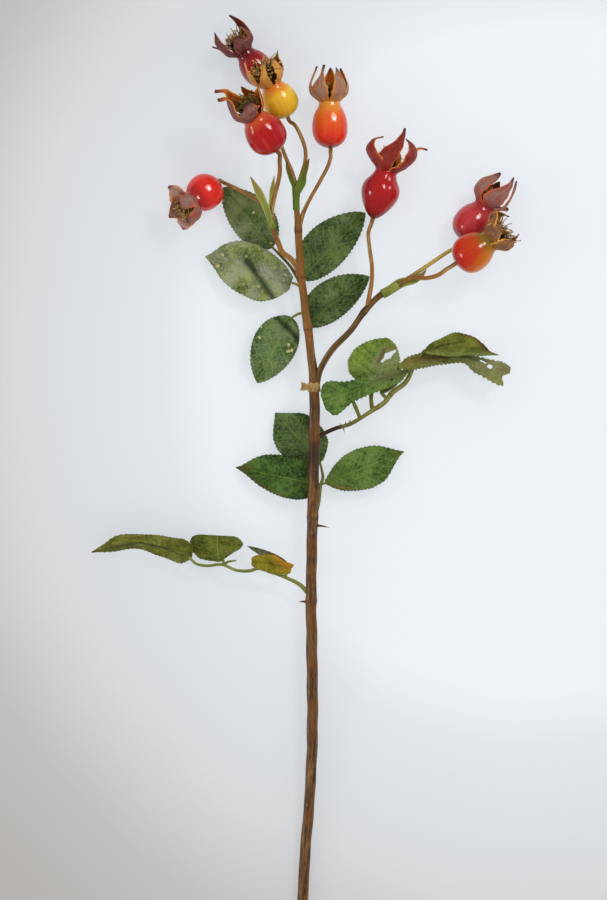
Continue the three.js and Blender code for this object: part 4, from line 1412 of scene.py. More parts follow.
ORANGE_INNER = SepalFinish(
    "sepal_inner_orange", (66, 16, 8), (196, 100, 26), (140, 42, 18), (226, 150, 50), (104, 48, 14),
    0.6,
)
DARK_INNER = SepalFinish(
    "sepal_inner_dark", (38, 12, 6), (98, 34, 16), (66, 20, 10), (176, 76, 28), (50, 22, 10), 0.7
)
MAUVE_INNER = SepalFinish(
    "sepal_inner_mauve", (104, 52, 38), (190, 148, 132), (170, 106, 84), (224, 142, 72),
    (112, 50, 32), 0.74,
)
GOLD_INNER = SepalFinish(
    "sepal_inner_gold", (66, 32, 8), (140, 88, 22), (96, 52, 14), (208, 144, 40), (86, 48, 14), 0.6
)
STRAW = StamenFinish("stamens_straw", (72, 42, 14), (186, 146, 76), (206, 176, 104))
GOLDEN = StamenFinish("stamens_golden", (52, 28, 10), (156, 108, 42), (184, 142, 66))
OLIVE = StamenFinish("stamens_olive", (36, 24, 10), (122, 94, 34), (112, 92, 38))
# its blush is painted shade on its lower left side and underside
CRIMSON_SKIN = HipFinish(
    "hip_crimson_dark", (98, 8, 12), (150, 14, 22), (158, 18, 26), (108, 14, 18), (104, 10, 18),
    (-0.9, 0, -0.4), 0.25,
)
YELLOW_SKIN = HipFinish(
    "hip_yellow", (140, 124, 12), (222, 166, 24), (240, 188, 44), (230, 120, 30), (156, 154, 24),
    (0.75, -0.75, 0.1), 0.05, (232, 194, 60), 0.35,
)
# its blush is painted shade on its lower left side and underside
RED_SKIN = HipFinish(
    "hip_red", (112, 8, 6), (168, 12, 10), (178, 14, 12), (200, 72, 22), (136, 12, 10),
    (-0.9, 0, -0.3), 0.3, (214, 70, 52), 0.35,
)
ORANGE_SKIN = HipFinish(
    "hip_orange", (140, 14, 8), (224, 50, 16), (236, 104, 34), (236, 152, 46), (222, 38, 24),
    (0.95, -0.25, -0.1), 0.1, (234, 116, 44), 0.2,
)
# its blush is painted shade on its underside
BRIGHT_SKIN = HipFinish(
    "hip_bright_red", (168, 20, 12), (230, 46, 32), (226, 40, 28), (176, 26, 20), (196, 24, 18),
    (-0.5, 0, -0.7), 0.3, (222, 64, 46), 0.2,
)
# its blush is a painted purplish sheen on its left side
PEAR_SKIN = HipFinish(
    "hip_deep_red", (84, 8, 4), (158, 12, 10), (176, 20, 20), (180, 20, 18), (144, 22, 34),
    (-0.9, 0.1, 0.0), 0.2, (186, 44, 42), 0.3,
)
# its blush is painted shade on its underside
PINK_SKIN = HipFinish(
    "hip_pink_red", (116, 14, 14), (180, 42, 44), (190, 56, 58), (168, 34, 34), (138, 18, 22),
    (0.2, 0, -0.9), 0.2, (204, 84, 80), 0.35,
)
AMBER_SKIN = HipFinish(
    "hip_amber", (140, 12, 4), (192, 30, 6), (190, 62, 4), (126, 104, 10), (206, 122, 10),
    (0.85, 0.3, 0.0), 0.3, (214, 84, 34), 0.25,
)

# the eight hips, from the farthest to the nearest
HIPS = [
    Hip(
        "back_red", (-18.3, 189.9, 0), (-0.6, 0.76, 0.2), 20, 8, CRIMSON_SKIN, MAROON_OUTER,
        DARK_INNER, GOLDEN,
        (
            Sepal(324, UPRIGHT, 0.98, 1.35, 16, widths=SLENDER), Sepal(78, FOLDED, 0.74, 1.1),
            Sepal(163, UPRIGHT, 0.88, 0.95, curl=0.5), Sepal(194, FLARED, 0.66, 0.9),
            Sepal(4, CUPPED, 0.78, 1.25),
        ),
        ("hip_crimson", "sepal"), rests=True, tuft_height=14, tuft_spread=0.75, strands=84, seed=1,
    ),
    Hip(
        "yellow", (-8.6, 172.4, 18), (-0.42, 0.84, 0.34), 19, 9, YELLOW_SKIN, GOLD_OUTER,
        GOLD_INNER, STRAW,
        (
            Sepal(24, CUPPED, 0.74, 1.2), Sepal(112, POINTED, 1.12, 0.66, -22, 0, SLENDER),
            Sepal(178, UPRIGHT, 0.95, 0.85), Sepal(236, CUPPED, 0.7), Sepal(330, FLARED, 0.72, 0.9),
        ),
        ("hip_yellow", "sepal_yellow"), tuft_height=14.5, tuft_spread=0.7, strands=120, seed=2,
    ),
    Hip(
        "front_red", (-13.9, 155, 28.6), (-0.53, 0.75, 0.4), 22, 10, RED_SKIN, MAUVE_OUTER,
        ORANGE_INNER, OLIVE,
        (
            Sepal(356, FLARED, 0.72, 1.2), Sepal(118, FOLDED, 0.74, 1.6, -34),
            Sepal(176, SCROLLED, 1.0, 1.4, 6, 0.4, STRAP),
            Sepal(262, SCROLLED, 1.15, 0.9, -44, 0.3, STRAP), Sepal(308, CUPPED, 0.9),
        ),
        ("hip_red", "sepal"), ribs=0.035, tuft_height=13, tuft_spread=0.65, strands=110, seed=3,
    ),
    Hip(
        "orange", (13, 156.8, 12.6), (-0.02, 1, 0.04), 23.5, 9, ORANGE_SKIN, TAN_OUTER,
        ORANGE_INNER, GOLDEN,
        (
            Sepal(352, CUPPED, 1.02), Sepal(52, CUPPED, 1.05, 0.92),
            Sepal(126, CUPPED, 1.14, 0.86, -12, 0, SPIRED),
            Sepal(184, CUPPED, 1.1, 0.9, -10, 0, SPIRED), Sepal(276, CUPPED, 1.05),
        ),
        ("hip_orange", "sepal"), tuft_height=10, tuft_spread=0.34, strands=70, seed=4,
    ),
    Hip(
        "left_red", (-44.8, 139.6, 0), (-0.6, -0.55, 0.58), 18.8, 9.2, BRIGHT_SKIN, GREY_OUTER,
        MAUVE_INNER, STRAW,
        (
            Sepal(15, SPREAD, 0.74, 1.35), Sepal(72, FOLDED, 0.86, 1.45),
            Sepal(152, CUPPED, 0.74, 1.4), Sepal(226, CURLED, 0.55, 1.3, 10),
            Sepal(300, UPRIGHT, 0.66, 1.3),
        ),
        ("hip_red", "sepal"), rests=True, tuft_height=10, tuft_spread=0.5, strands=84, seed=5,
    ),
    Hip(
        "crimson", (34.2, 121.6, 12.4), (0.27, 0.96, 0.08), 25, 9.6, PEAR_SKIN, RED_OUTER,
        ORANGE_INNER, GOLDEN,
        (
            Sepal(346, CURLED, 1.05, 0.75, widths=SLENDER), Sepal(34, HORNED, 1.16, 1.1),
            Sepal(104, UPRIGHT, 1.22, 0.95, -44), Sepal(142, HORNED, 1.02, 1.25, 30, widths=STRAP),
            Sepal(282, CUPPED, 0.9),
        ),
        ("hip_crimson", "sepal"), pear=True, dents=((70, 0.8, 0.15, 0.06), (124, 0.7, 0.12, 0.045)),
        tuft_height=13, tuft_spread=0.5, strands=26, seed=6,
    ),
    Hip(
        "pink_red", (78.8, 110.8, 0), (0.56, 0.82, 0.08), 21, 9.8, PINK_SKIN, GREY_OUTER,
        DARK_INNER, GOLDEN,
        (
            Sepal(334, SPREAD, 0.52, 1.1), Sepal(12, UPRIGHT, 1.0, 0.9, widths=SLENDER),
            Sepal(80, UPRIGHT, 1.04, 1.0, -28, 0.4), Sepal(160, CUPPED, 1.12, 1.1, -40, 0.3),
            Sepal(262, CUPPED, 0.85),
        ),
        ("hip_crimson", "sepal"), rests=True, tuft_height=11, tuft_spread=0.45, strands=60, seed=7,
    ),
    Hip(
        "amber", (75.6, 98.9, 22.6), (0.81, 0.53, 0.22), 21, 9.7, AMBER_SKIN, BROWN_OUTER,
        GOLD_INNER, GOLDEN,
        (
            Sepal(334, CUPPED, 0.82, 1.1), Sepal(36, HOOKED, 0.8, 1.2),
            Sepal(112, FOLDED, 0.8, 1.1), Sepal(166, CURLED, 0.72, 1.15),
            Sepal(214, HORNED, 0.86, 1.0),
        ),
        ("hip_amber", "sepal_yellow"), tuft_height=14, tuft_spread=0.85, strands=120, seed=8,
    ),
]


# ---- Leaves ----

DEEP = LeafFinish("leaf_deep", (28, 48, 20), (51, 75, 33), (92, 112, 58), (116, 134, 68), 0.12, 0.1)
DUSTY = LeafFinish(
    "leaf_dusty", (58, 80, 24), (102, 118, 56), (148, 158, 96), (150, 160, 98), 1.0, 0.8,
    (162, 162, 146),
)
SPECKLED = LeafFinish(
    "leaf_speckled", (42, 66, 26), (72, 96, 44), (114, 122, 70), (122, 136, 78), 0.3, 0.9
)
MIDDLING = LeafFinish(
    "leaf_middling", (42, 70, 26), (69, 98, 45), (106, 128, 74), (136, 148, 88), 0.3, 0.9
)
GRASS = LeafFinish(
    "leaf_grass", (18, 42, 5), (37, 69, 15), (72, 101, 36), (104, 128, 56), 0.04, 0.0,
    brown=(96, 66, 40),
)
HEDGE = LeafFinish(
    "leaf_hedge", (36, 65, 15), (63, 95, 32), (98, 123, 56), (124, 142, 66), 0.06, 0.0,
    brown=(112, 84, 46),
)
BRIGHT = LeafFinish(
    "leaf_bright", (62, 92, 20), (92, 120, 36), (124, 146, 56), (138, 156, 70), 0.06, 0.0,
    (140, 146, 98), (106, 74, 40),
)
FRONT = LeafFinish(
    "leaf_front", (38, 70, 18), (65, 96, 31), (99, 127, 54), (120, 142, 66), 0.08, 0.0,
    (128, 126, 90), (104, 82, 60),
)
OLIVE_UNDER = LeafFinish(
    "leaf_under", (74, 80, 8), (106, 112, 30), (128, 132, 46), (80, 86, 22), 0.05, 0.0,
    (128, 138, 78),
)
TIP_UNDER = LeafFinish(
    "leaf_under_tip", (86, 88, 14), (118, 120, 40), (138, 138, 58), (78, 82, 24), 0.05, 0.0,
    (128, 138, 78),
)
LONG_UNDER = LeafFinish(
    "leaf_under_long", (88, 92, 24), (120, 122, 48), (144, 142, 76), (96, 102, 38), 0.15, 0.0,
    (138, 142, 100), (122, 84, 50),
)
DARK_UNDER = LeafFinish(
    "leaf_under_dark", (56, 64, 10), (82, 90, 20), (106, 112, 38), (126, 130, 52), 0.03, 0.0
)
YELLOW = LeafFinish(
    "leaf_yellow", (98, 98, 18), (134, 122, 22), (160, 136, 30), (118, 122, 34),
    brown=(196, 128, 28),
)
GREYED = LeafFinish(
    "leaf_greyed", (66, 76, 44), (98, 106, 68), (134, 128, 108), (112, 120, 80), 0.5, 0.0
)


class MarkKind(Enum):
    """What a mark on a leaf is: a fold with painted shade along it, a dried patch or a browned one.
    """

    # a shallow dip with painted shade laid along it
    FOLD_SHADE = 0
    DRY = 1
    BROWN = 2


@dataclass(frozen=True)
class Mark:
    """A mark along a line seen from above: its ends, its width and how deep it dips."""

    kind: MarkKind
    start: Point
    end: Point
    width: float
    depth: float = 0.0
    strength: float = 1.0

    def share(self, spots: Rows) -> Rows:
        """How much of the mark there is at each point.

        Args:
            spots: The points.

        Returns:
            A share for each point.
        """
        a, b = np.array(self.start, float), np.array(self.end, float)
        way = b - a
        along = np.clip(((spots[..., :2] - a) @ way) / max(way @ way, 1e-9), 0, 1)
        away = np.linalg.norm(spots[..., :2] - (a + along[..., None] * way), axis=-1)
        return np.exp(-((away / self.width) ** 2)) * self.strength


@dataclass(frozen=True)
class Hole:
    """A hole in a leaf, through ragged points seen from above."""

    points: tuple[Point, ...]

    def inside(self, spots: Rows) -> Rows:
        """Which points fall in the hole.

        Args:
            spots: The points.

        Returns:
            True for each point that does.
        """
        x, y = spots[..., 0], spots[..., 1]
        found = np.zeros(x.shape, bool)
        for (ax, ay), (bx, by) in zip(self.points, self.points[1:] + self.points[:1]):
            crosses = ((ay > y) != (by > y)) & (x < (bx - ax) * (y - ay) / (by - ay + 1e-12) + ax)
            found ^= crosses
        return found


@dataclass
class Leaflet:
    """One leaflet, from its base to its tip along a bowed midrib, as it lies."""

    node: str
    base: Point
    tip: Point
    upper: LeafFinish
    under: LeafFinish = OLIVE_UNDER
    slot: str = "leaf"
    roll: float = 0.0  # about its midrib, in degrees
    bow: float = 2.0  # the rise of its midrib's middle
    fold: float = 0.15  # how steeply each half rises from the midrib
    belly: float = 0.42  # the share along it where it is widest
    rise: float = 0.8  # how blunt its tip is
    teeth: int = 24  # on each side
    tooth: float = 0.55  # their height
    waves: float = 0.55  # the height of its margin's waves
    marks: tuple[Mark, ...] = ()
    holes: tuple[Hole, ...] = ()
    # points of its midrib between the base and the tip, where it isn't a plain bow
    line: tuple[Point, ...] = ()
    # rows of share along it and half widths to its left and right, where it isn't a plain blade
    edges: tuple[Point, ...] = ()
    rows: int = 133
    cols: int = 41
    # half widths to its left and right at its widest, where no edges are given
    widest: tuple[float, float] = (0.0, 0.0)
    seed: int = 1

    def _teeth(self, t: Rows, u: Rows, rng: np.random.Generator) -> Rows:
        """The saw teeth of the margin: each leans towards the tip, and no two are alike.

        Args:
            t: Shares along the leaflet.
            u: Shares across it, positive to the left.
            rng: The leaflet's random draws.

        Returns:
            How far each place moves out, in millimetres.
        """
        found = np.zeros((len(t), u.shape[1]))
        for side in (-1, 1):
            phase = (t * self.teeth + rng.uniform(0, 1)) * (1 + 0.06 * np.sin(5 * t))
            own = rng.uniform(0.55, 1.3, self.teeth * 2 + 4)[np.floor(phase).astype(int)]
            share = phase % 1.0
            rising, falling = share / TOOTH_RISE, (1 - share) / TOOTH_FALL
            height = np.where(share < TOOTH_RISE, rising, falling) - 0.4
            found += height * own * (np.sign(u) == side) * np.abs(u) ** 14
        return found * self.tooth

    def _midrib(self, t: Rows) -> tuple[Rows, Rows, Rows, Rows]:
        """The midrib's points and its directions.

        Args:
            t: Shares along the leaflet.

        Returns:
            The points, the way along, the level way to the left, and the way up.
        """
        start, end = np.array(self.base, float), np.array(self.tip, float)
        if self.line:
            spine = smooth_line([self.base, *self.line, self.tip], self.rows)
            tangent = unit(np.gradient(spine, axis=0))
            level = unit(np.cross([0.0, 0.0, 1.0], tangent))
            return spine, tangent, level, np.cross(tangent, level)
        chord = end - start
        level = unit(np.array([-chord[1], chord[0], 0]))
        up = np.cross(unit(chord), level)
        middle = (start + end) / 2 + 2 * self.bow * up
        spine = (1 - t) ** 2 * start + 2 * t * (1 - t) * middle + t**2 * end
        return spine, unit(2 * (1 - t) * (middle - start) + 2 * t * (end - middle)), level, up

    def _half(self, t: Rows, u: Rows) -> Rows:
        """The half width at each place.

        Args:
            t: Shares along the leaflet.
            u: Shares across it, positive to the left.

        Returns:
            The half widths, in millimetres.
        """
        if self.edges:
            rows = np.array(self.edges)
            blur = np.hanning(BLUR) / np.hanning(BLUR).sum()
            drawn = [np.interp(t[:, 0], rows[:, 0], rows[:, side]) for side in (1, 2)]
            left, right = [np.convolve(np.pad(d, BLUR // 2, "edge"), blur, "valid") for d in drawn]
            return np.maximum(LEAST_HALF, np.where(u > 0, left[:, None], right[:, None]))
        blunt = self.rise * self.belly / (1 - self.belly)
        full = self.belly**blunt * (1 - self.belly) ** self.rise
        share = t**blunt * (1 - t) ** self.rise / full
        return np.maximum(LEAST_HALF, share * np.where(u > 0, *self.widest))

    def build(self) -> bpy.types.Object:
        """The leaflet's blade.

        Returns:
            The object.
        """
        rng = np.random.default_rng(self.seed * 13 + len(self.node))
        t, u = blade_grid(self.rows, self.cols)
        u = np.sign(u) * np.abs(u) ** 0.85
        spine, tangent, level, up = self._midrib(t)
        turn = np.radians(self.roll + 0 * t)
        across = level * np.cos(turn) + up * np.sin(turn)
        across = unit(across - (across * tangent).sum(1, keepdims=True) * tangent)
        normal = np.cross(tangent, across)
        half = self._half(t, u)
        reach = u * half + self._teeth(t, u, rng) * np.minimum(1, half / 3)
        flat = np.abs(u)
        phase = t * VEINS - flat * VEIN_SLANT + flat**2 * VEIN_CURVE
        quilt = 0.42 * np.abs(np.sin(np.pi * phase)) ** 0.7 * smooth_step(flat, 0.02, 0.25)
        quilt = quilt * (1 - smooth_step(flat, 0.8, 1.0))
        rib = -0.55 * np.exp(-((u * half / 0.9) ** 2))
        pace = 2 * np.pi * (t * rng.uniform(1.6, 2.6) + rng.uniform(0, 1))
        swing = np.sin(pace + np.where(u > 0, 1.3, 4.0))
        lift = self.fold * flat * half + (quilt + rib) * np.minimum(1, half / 4)
        lift = lift + self.waves * swing * flat**2.2 * np.minimum(1, half / 5)
        ripple = np.sin(3.1 * u * half / 4 + 5 * t + rng.uniform(0, 6))
        lift = lift + 0.25 * ripple * np.minimum(1, half / 6)
        ones = np.ones((self.rows, self.cols, 1))
        blade = spine[:, None] + across[:, None] * reach[..., None]
        blade = blade + normal[:, None] * lift[..., None]
        marks = np.zeros((self.rows, self.cols, 3))
        for mark in self.marks:
            share = mark.share(blade)
            marks[..., mark.kind.value] += share
            blade = blade - normal[:, None] * (share * mark.depth)[..., None]
        kept = np.ones((self.rows - 1, self.cols - 1), bool)
        centres = (blade[:-1, :-1] + blade[1:, 1:]) / 2
        for hole in self.holes:
            kept &= ~hole.inside(centres)
        thickness = (0.42 - 0.22 * flat**4) * ones[..., 0]
        places = np.stack([u + 0 * t, t + 0 * u, u * half], -1)
        name = self.node.replace("leaflet", "blade")
        piece = Piece(name, self.node, self.slot, (self.upper, self.under), 50)
        return piece.place(sheet(blade, normal[:, None] * ones, thickness, places, marks, kept))


FOLD_SHADE, DRY, BROWN = MarkKind


# the seventeen leaflets of the four leaves
LEAFLETS = [
    Leaflet(
        "upper_leaflet_tip", (-16.2, 107.3, 3), (-41.2, 137.6, 2), SPECKLED, bow=1, waves=0.4,
        marks=(Mark(DRY, (-30, 118), (-36, 114), 3.2, 0, 0.7),), widest=(9.5, 12.4),
    ),
    Leaflet(
        "upper_leaflet_far_left", (-6.6, 89.6, 7), (-49.7, 102.8, 4), DUSTY, seed=2,
        edges=(
            (0, 3.4, 3), (0.06, 7.2, 5.4), (0.13, 10.4, 8), (0.25, 13.4, 10.6), (0.34, 14, 12),
            (0.5, 12.9, 13.4), (0.6, 11.8, 13.3), (0.7, 9.9, 12.4), (0.78, 7.7, 10.4),
            (0.86, 4.4, 7.4), (0.93, 2.2, 3.4), (1, 0.2, 0.2),
        ),
        marks=(
            # these two marks: a painted shadow of the stalk above, laid in a shallow dip
            Mark(FOLD_SHADE, (-28.5, 100), (-15.4, 81.5), 1.7, 1.2),
            Mark(FOLD_SHADE, (-31, 104), (-28.6, 100), 2.6, 0.2, 0.5),
            Mark(DRY, (-19, 95), (-11, 89), 4.2, 0, 0.7),
            Mark(DRY, (-37, 92), (-33, 100), 3.6, 0, 0.55),
        ),
    ),
    Leaflet(
        "upper_leaflet_near_left", (-6.9, 72.6, 6.5), (-23.6, 39.4, 4), MIDDLING, seed=3,
        # a painted shadow of the stalk above, laid in a shallow dip
        marks=(Mark(FOLD_SHADE, (-16, 74.6), (-0.8, 59.2), 1.5, 1.2),), widest=(10.3, 12),
    ),
    Leaflet(
        "upper_leaflet_far_right", (-1.6, 91.4, 5.6), (30.6, 124.8, 3), DEEP, seed=4,
        widest=(13.4, 9),
    ),
    Leaflet(
        "upper_leaflet_near_right", (0.4, 68.6, 3.6), (32.6, 92.8, 3), DEEP, seed=5,
        widest=(12, 7.8),
    ),
    Leaflet(
        "lower_leaflet_tip", (8.1, -0.4, 3), (-14.6, 24.4, 2.6), DEEP, bow=0.5, fold=0.08, seed=6,
        edges=(
            (0, 1, 2), (0.07, 4, 6.6), (0.155, 7.6, 10.2), (0.3, 10.6, 12), (0.42, 11.6, 12.4),
            (0.56, 11.8, 12), (0.66, 10.8, 11.3), (0.745, 9.5, 9.4), (0.84, 6.4, 5.8),
            (0.92, 3.2, 3), (1, 0.2, 0.2),
        ),
    ),
    Leaflet(
        "lower_leaflet_left", (5.5, -11.2, 6.8), (-34.4, -3, 3), GRASS, fold=0.08, seed=7,
        edges=(
            (0, 6, 7), (0.09, 8.6, 9), (0.19, 9.8, 10.4), (0.35, 10, 10.9), (0.5, 8.9, 10.8),
            (0.67, 6.7, 9.4), (0.79, 4, 6.8), (0.88, 2, 3.6), (0.95, 1, 1.2), (1, 0.2, 0.2),
        ),
        marks=(
            Mark(BROWN, (-34, -3), (-28, -3), 2.2, 0, 0.45),
            Mark(BROWN, (-28, -8), (-10, -18), 0.8, 0, 0.4),
        ),
    ),
    Leaflet(
        "lower_leaflet_right", (10.6, -10.5, 5.2), (49.8, 4.9, 3), HEDGE, seed=8,
        edges=(
            (0, 1, 1), (0.06, 3, 4), (0.17, 6.4, 7.6), (0.32, 9.2, 9.9), (0.48, 10, 11.3),
            (0.65, 8.9, 10.4), (0.74, 7.4, 8), (0.84, 4.8, 4.4), (0.93, 2, 1.5), (1, 0.2, 0.2),
        ),
        marks=(
            Mark(BROWN, (50, 5), (46, 4.4), 1.8, 0, 0.4),
            Mark(BROWN, (12, -12), (28, -15.4), 0.9, 0, 0.6),
        ),
    ),
    Leaflet(
        "right_leaflet_round", (33.5, 36, 8.6), (41.5, 61.8, 9.4), BRIGHT, tooth=0.8, seed=9,
        cols=61, line=((37.3, 49, 10),),
        edges=(
            (0, 2, 2), (0.1, 9, 8), (0.2, 13.3, 11.6), (0.4, 15.4, 12), (0.6, 14.2, 10.2),
            (0.72, 11.8, 9.2), (0.82, 9.2, 7.6), (0.91, 5.6, 5.8), (0.96, 3, 3.8), (1, 0.6, 0.8),
        ),
        marks=(
            Mark(DRY, (38, 45), (45, 52), 5, 0.3, 1.0), Mark(DRY, (35, 49), (40, 56), 1.8, 0, 0.8),
            Mark(BROWN, (37, 50), (39.6, 54.6), 1.2, 0.2, 0.8),
            Mark(BROWN, (39.6, 56), (45.4, 57.2), 0.8, 0, 0.6),
        ),
        holes=(
            Hole(
                (
                    (38, 50), (39.6, 51.8), (40.4, 54.2), (42, 54.6), (45.6, 56), (45.9, 55),
                    (44.4, 53.8), (43, 51.6), (40.6, 51), (39, 49.4),
                )
            ),
        ),
    ),
    Leaflet(
        "right_leaflet_front", (52.2, 45.6, 17), (9.2, 29.8, 17.5), FRONT, bow=1, tooth=0.75,
        roll=8, seed=10, cols=51, fold=0.1,
        edges=(
            (0, 0.6, 0.6), (0.13, 4.2, 2.4), (0.3, 5, 3.6), (0.5, 4.6, 4.6), (0.67, 5.2, 5.4),
            (0.76, 6.4, 6.8), (0.85, 8.2, 8.8), (0.92, 9, 8.6), (0.97, 7, 6.6), (1, 3, 3),
        ),
        marks=(
            Mark(DRY, (34, 41), (40, 43), 2, 0, 0.5), Mark(BROWN, (40, 42), (50, 46), 2.6, 0, 0.55),
            # painted shade along folds
            Mark(FOLD_SHADE, (48, 44), (51, 45.4), 1.4, 0, 0.5),
            Mark(FOLD_SHADE, (20, 35), (33, 39), 0.6, 0, 0.3),
        ),
        holes=(Hole(((42.4, 40.6), (43.8, 41.4), (44.6, 41), (43.6, 40.2))),),
    ),
    Leaflet(
        "right_leaflet_small", (37.8, 34.4, 14.8), (48.6, 41.9, 15.6), DEEP, roll=-10, bow=0.5,
        teeth=11, rows=81, seed=11, marks=(Mark(BROWN, (40, 36), (46, 40), 1.2, 0, 0.6),),
        widest=(3.4, 2.1),
    ),
    Leaflet(
        "right_leaflet_far", (59.75, 54.75, 17), (97, 53.2, 15), DEEP, OLIVE_UNDER, "leaf_under",
        roll=140, fold=0.05, seed=12,
        line=((66, 55.4, 17.2), (72.75, 55.75, 17.4), (82.75, 56, 17), (90.5, 54.9, 16)),
        edges=(
            (0, 0.4, 0.6), (0.05, 1.6, 3.6), (0.15, 3, 7), (0.28, 3.8, 9.8), (0.41, 4, 11.8),
            (0.5, 4, 11.9), (0.6, 3.9, 10.6), (0.7, 3.4, 8), (0.8, 2.6, 4), (0.87, 1.8, 0.9),
            (0.94, 0.9, 0.5), (1, 0.2, 0.2),
        ),
        marks=(
            Mark(BROWN, (79, 64.6), (86, 61.6), 0.7, 0, 0.9),
            Mark(BROWN, (86, 61.6), (91.8, 55.4), 0.9, 0, 1.0),
            # painted shade along folds
            Mark(FOLD_SHADE, (66, 57), (72, 58.6), 0.5, 0.3, 0.8),
            Mark(FOLD_SHADE, (72, 58.6), (80, 60), 0.6, 0.2, 0.7),
            Mark(DRY, (62, 53.6), (92, 53.4), 1.3, 0, 0.8),
        ),
    ),
    Leaflet(
        "right_leaflet_long", (47.2, 47.4, 13.2), (102.8, 43.8, 11), DEEP, LONG_UNDER, "leaf_under",
        roll=155, fold=0.05, teeth=28, tooth=0.95, seed=13, cols=61,
        line=(
            (51.25, 48.75, 13.6), (60.25, 50.75, 13.8), (68.25, 51.25, 13.6), (79.25, 51.5, 13.2),
            (85.25, 49.75, 12.8), (91.75, 47.25, 12.4), (97.75, 45, 12),
        ),
        edges=(
            (0, 1, 1), (0.08, 3.6, 3.6), (0.24, 4.1, 4.4), (0.38, 3.1, 4), (0.57, 2.1, 3.6),
            (0.63, 3, 3.6), (0.69, 5.6, 3.8), (0.8, 6.2, 5.1), (0.91, 7.1, 6.2), (0.96, 7.1, 5.1),
            (1, 4, 3.4),
        ),
        marks=(
            Mark(DRY, (86, 50), (104, 44), 6.5, 0, 0.8), Mark(BROWN, (50, 50), (66, 53), 2, 0, 0.4),
            # painted shade along a fold
            Mark(FOLD_SHADE, (60, 50.4), (80, 52), 0.5, 0.3, 0.35),
            Mark(BROWN, (98, 46), (104, 45), 1.4, 0, 0.35),
        ),
        holes=(
            Hole(((91, 47.6), (92.4, 48.8), (94.2, 48), (93.8, 46.2), (92, 46.6))),
            Hole(((87.4, 50.9), (88.8, 50.7), (91.6, 49.2), (90.6, 48.9), (88, 50))),
            Hole(
                (
                    (99.2, 43), (101.4, 43.7), (105, 45), (105, 36), (99, 36.6), (99.6, 39),
                    (98.8, 41.2),
                )
            ),
        ),
    ),
    Leaflet(
        "left_leaflet_yellow", (-6.4, -53.6, 12), (-26.4, -49.9, 13.4), YELLOW, YELLOW,
        "leaf_yellow", roll=-30, teeth=9, tooth=0.25, rows=81, seed=14,
        edges=(
            (0, 2.4, 2.4), (0.06, 3.7, 3.3), (0.25, 4.3, 4.2), (0.46, 4.6, 6.4), (0.65, 4.2, 6.4),
            (0.8, 3.8, 5.4), (0.93, 3.2, 4), (1, 1.6, 1.6),
        ),
        marks=(
            Mark(BROWN, (-14, -47), (-6, -53), 2.4, 0, 0.7),
            # painted shade along a fold
            Mark(FOLD_SHADE, (-17, -50.5), (-15, -53), 0.9, 0.3, 0.5),
        ),
    ),
    Leaflet(
        "left_leaflet_grey", (-8.6, -50.8, 9.6), (-28.6, -42.4, 8.4), GREYED, GREYED, bow=0.5,
        teeth=9, tooth=0.3, rows=81, seed=15,
        marks=(Mark(BROWN, (-11, -48.4), (-21, -44), 0.8, 0, 0.6),), widest=(2, 1.8),
    ),
    Leaflet(
        "left_leaflet_middle", (-42.3, -50.2, 10), (-43.4, -37, 11.5), DEEP, DARK_UNDER,
        "leaf_under", roll=168, teeth=15, seed=16, cols=51, fold=0.05,
        line=((-43.2, -46, 10.8), (-43.6, -41.6, 11.4)),
        edges=(
            (0, 0.5, 0.5), (0.1, 3.6, 5), (0.25, 7.4, 10.6), (0.42, 11.4, 13), (0.6, 12.8, 14.2),
            (0.76, 13, 14.2), (0.88, 12, 13.4), (0.95, 10.8, 12), (1, 8.4, 9.6),
        ),
    ),
    Leaflet(
        "left_leaflet_tip", (-56, -45, 11), (-106.7, -45.5, 9), DEEP, TIP_UNDER, "leaf_under",
        roll=130, teeth=26, seed=17, fold=0.05,
        line=(
            (-63.25, -44, 10.9), (-72.25, -41.75, 10.4), (-82.25, -40, 10), (-92.25, -40.6, 9.8),
            (-100.25, -43.4, 9.4),
        ),
        edges=(
            (0, 3, 4), (0.04, 7, 9), (0.1, 9.6, 13), (0.18, 8.4, 11.6), (0.26, 6.8, 9),
            (0.4, 6.4, 7.8), (0.56, 6, 7.4), (0.74, 5, 6), (0.88, 2.9, 3.6), (1, 0.2, 0.2),
        ),
        marks=(
            Mark(BROWN, (-106, -45.8), (-107, -45.8), 2, 0, 1.0),
            # painted shade along folds
            Mark(FOLD_SHADE, (-97, -43), (-82.2, -40.5), 0.5, 0.2, 0.7),
            Mark(FOLD_SHADE, (-82.2, -40.5), (-69.7, -43.2), 0.5, 0.2, 0.8),
            Mark(FOLD_SHADE, (-69.7, -43.2), (-59.7, -47.7), 0.5, 0.2, 0.6),
        ),
    ),
]


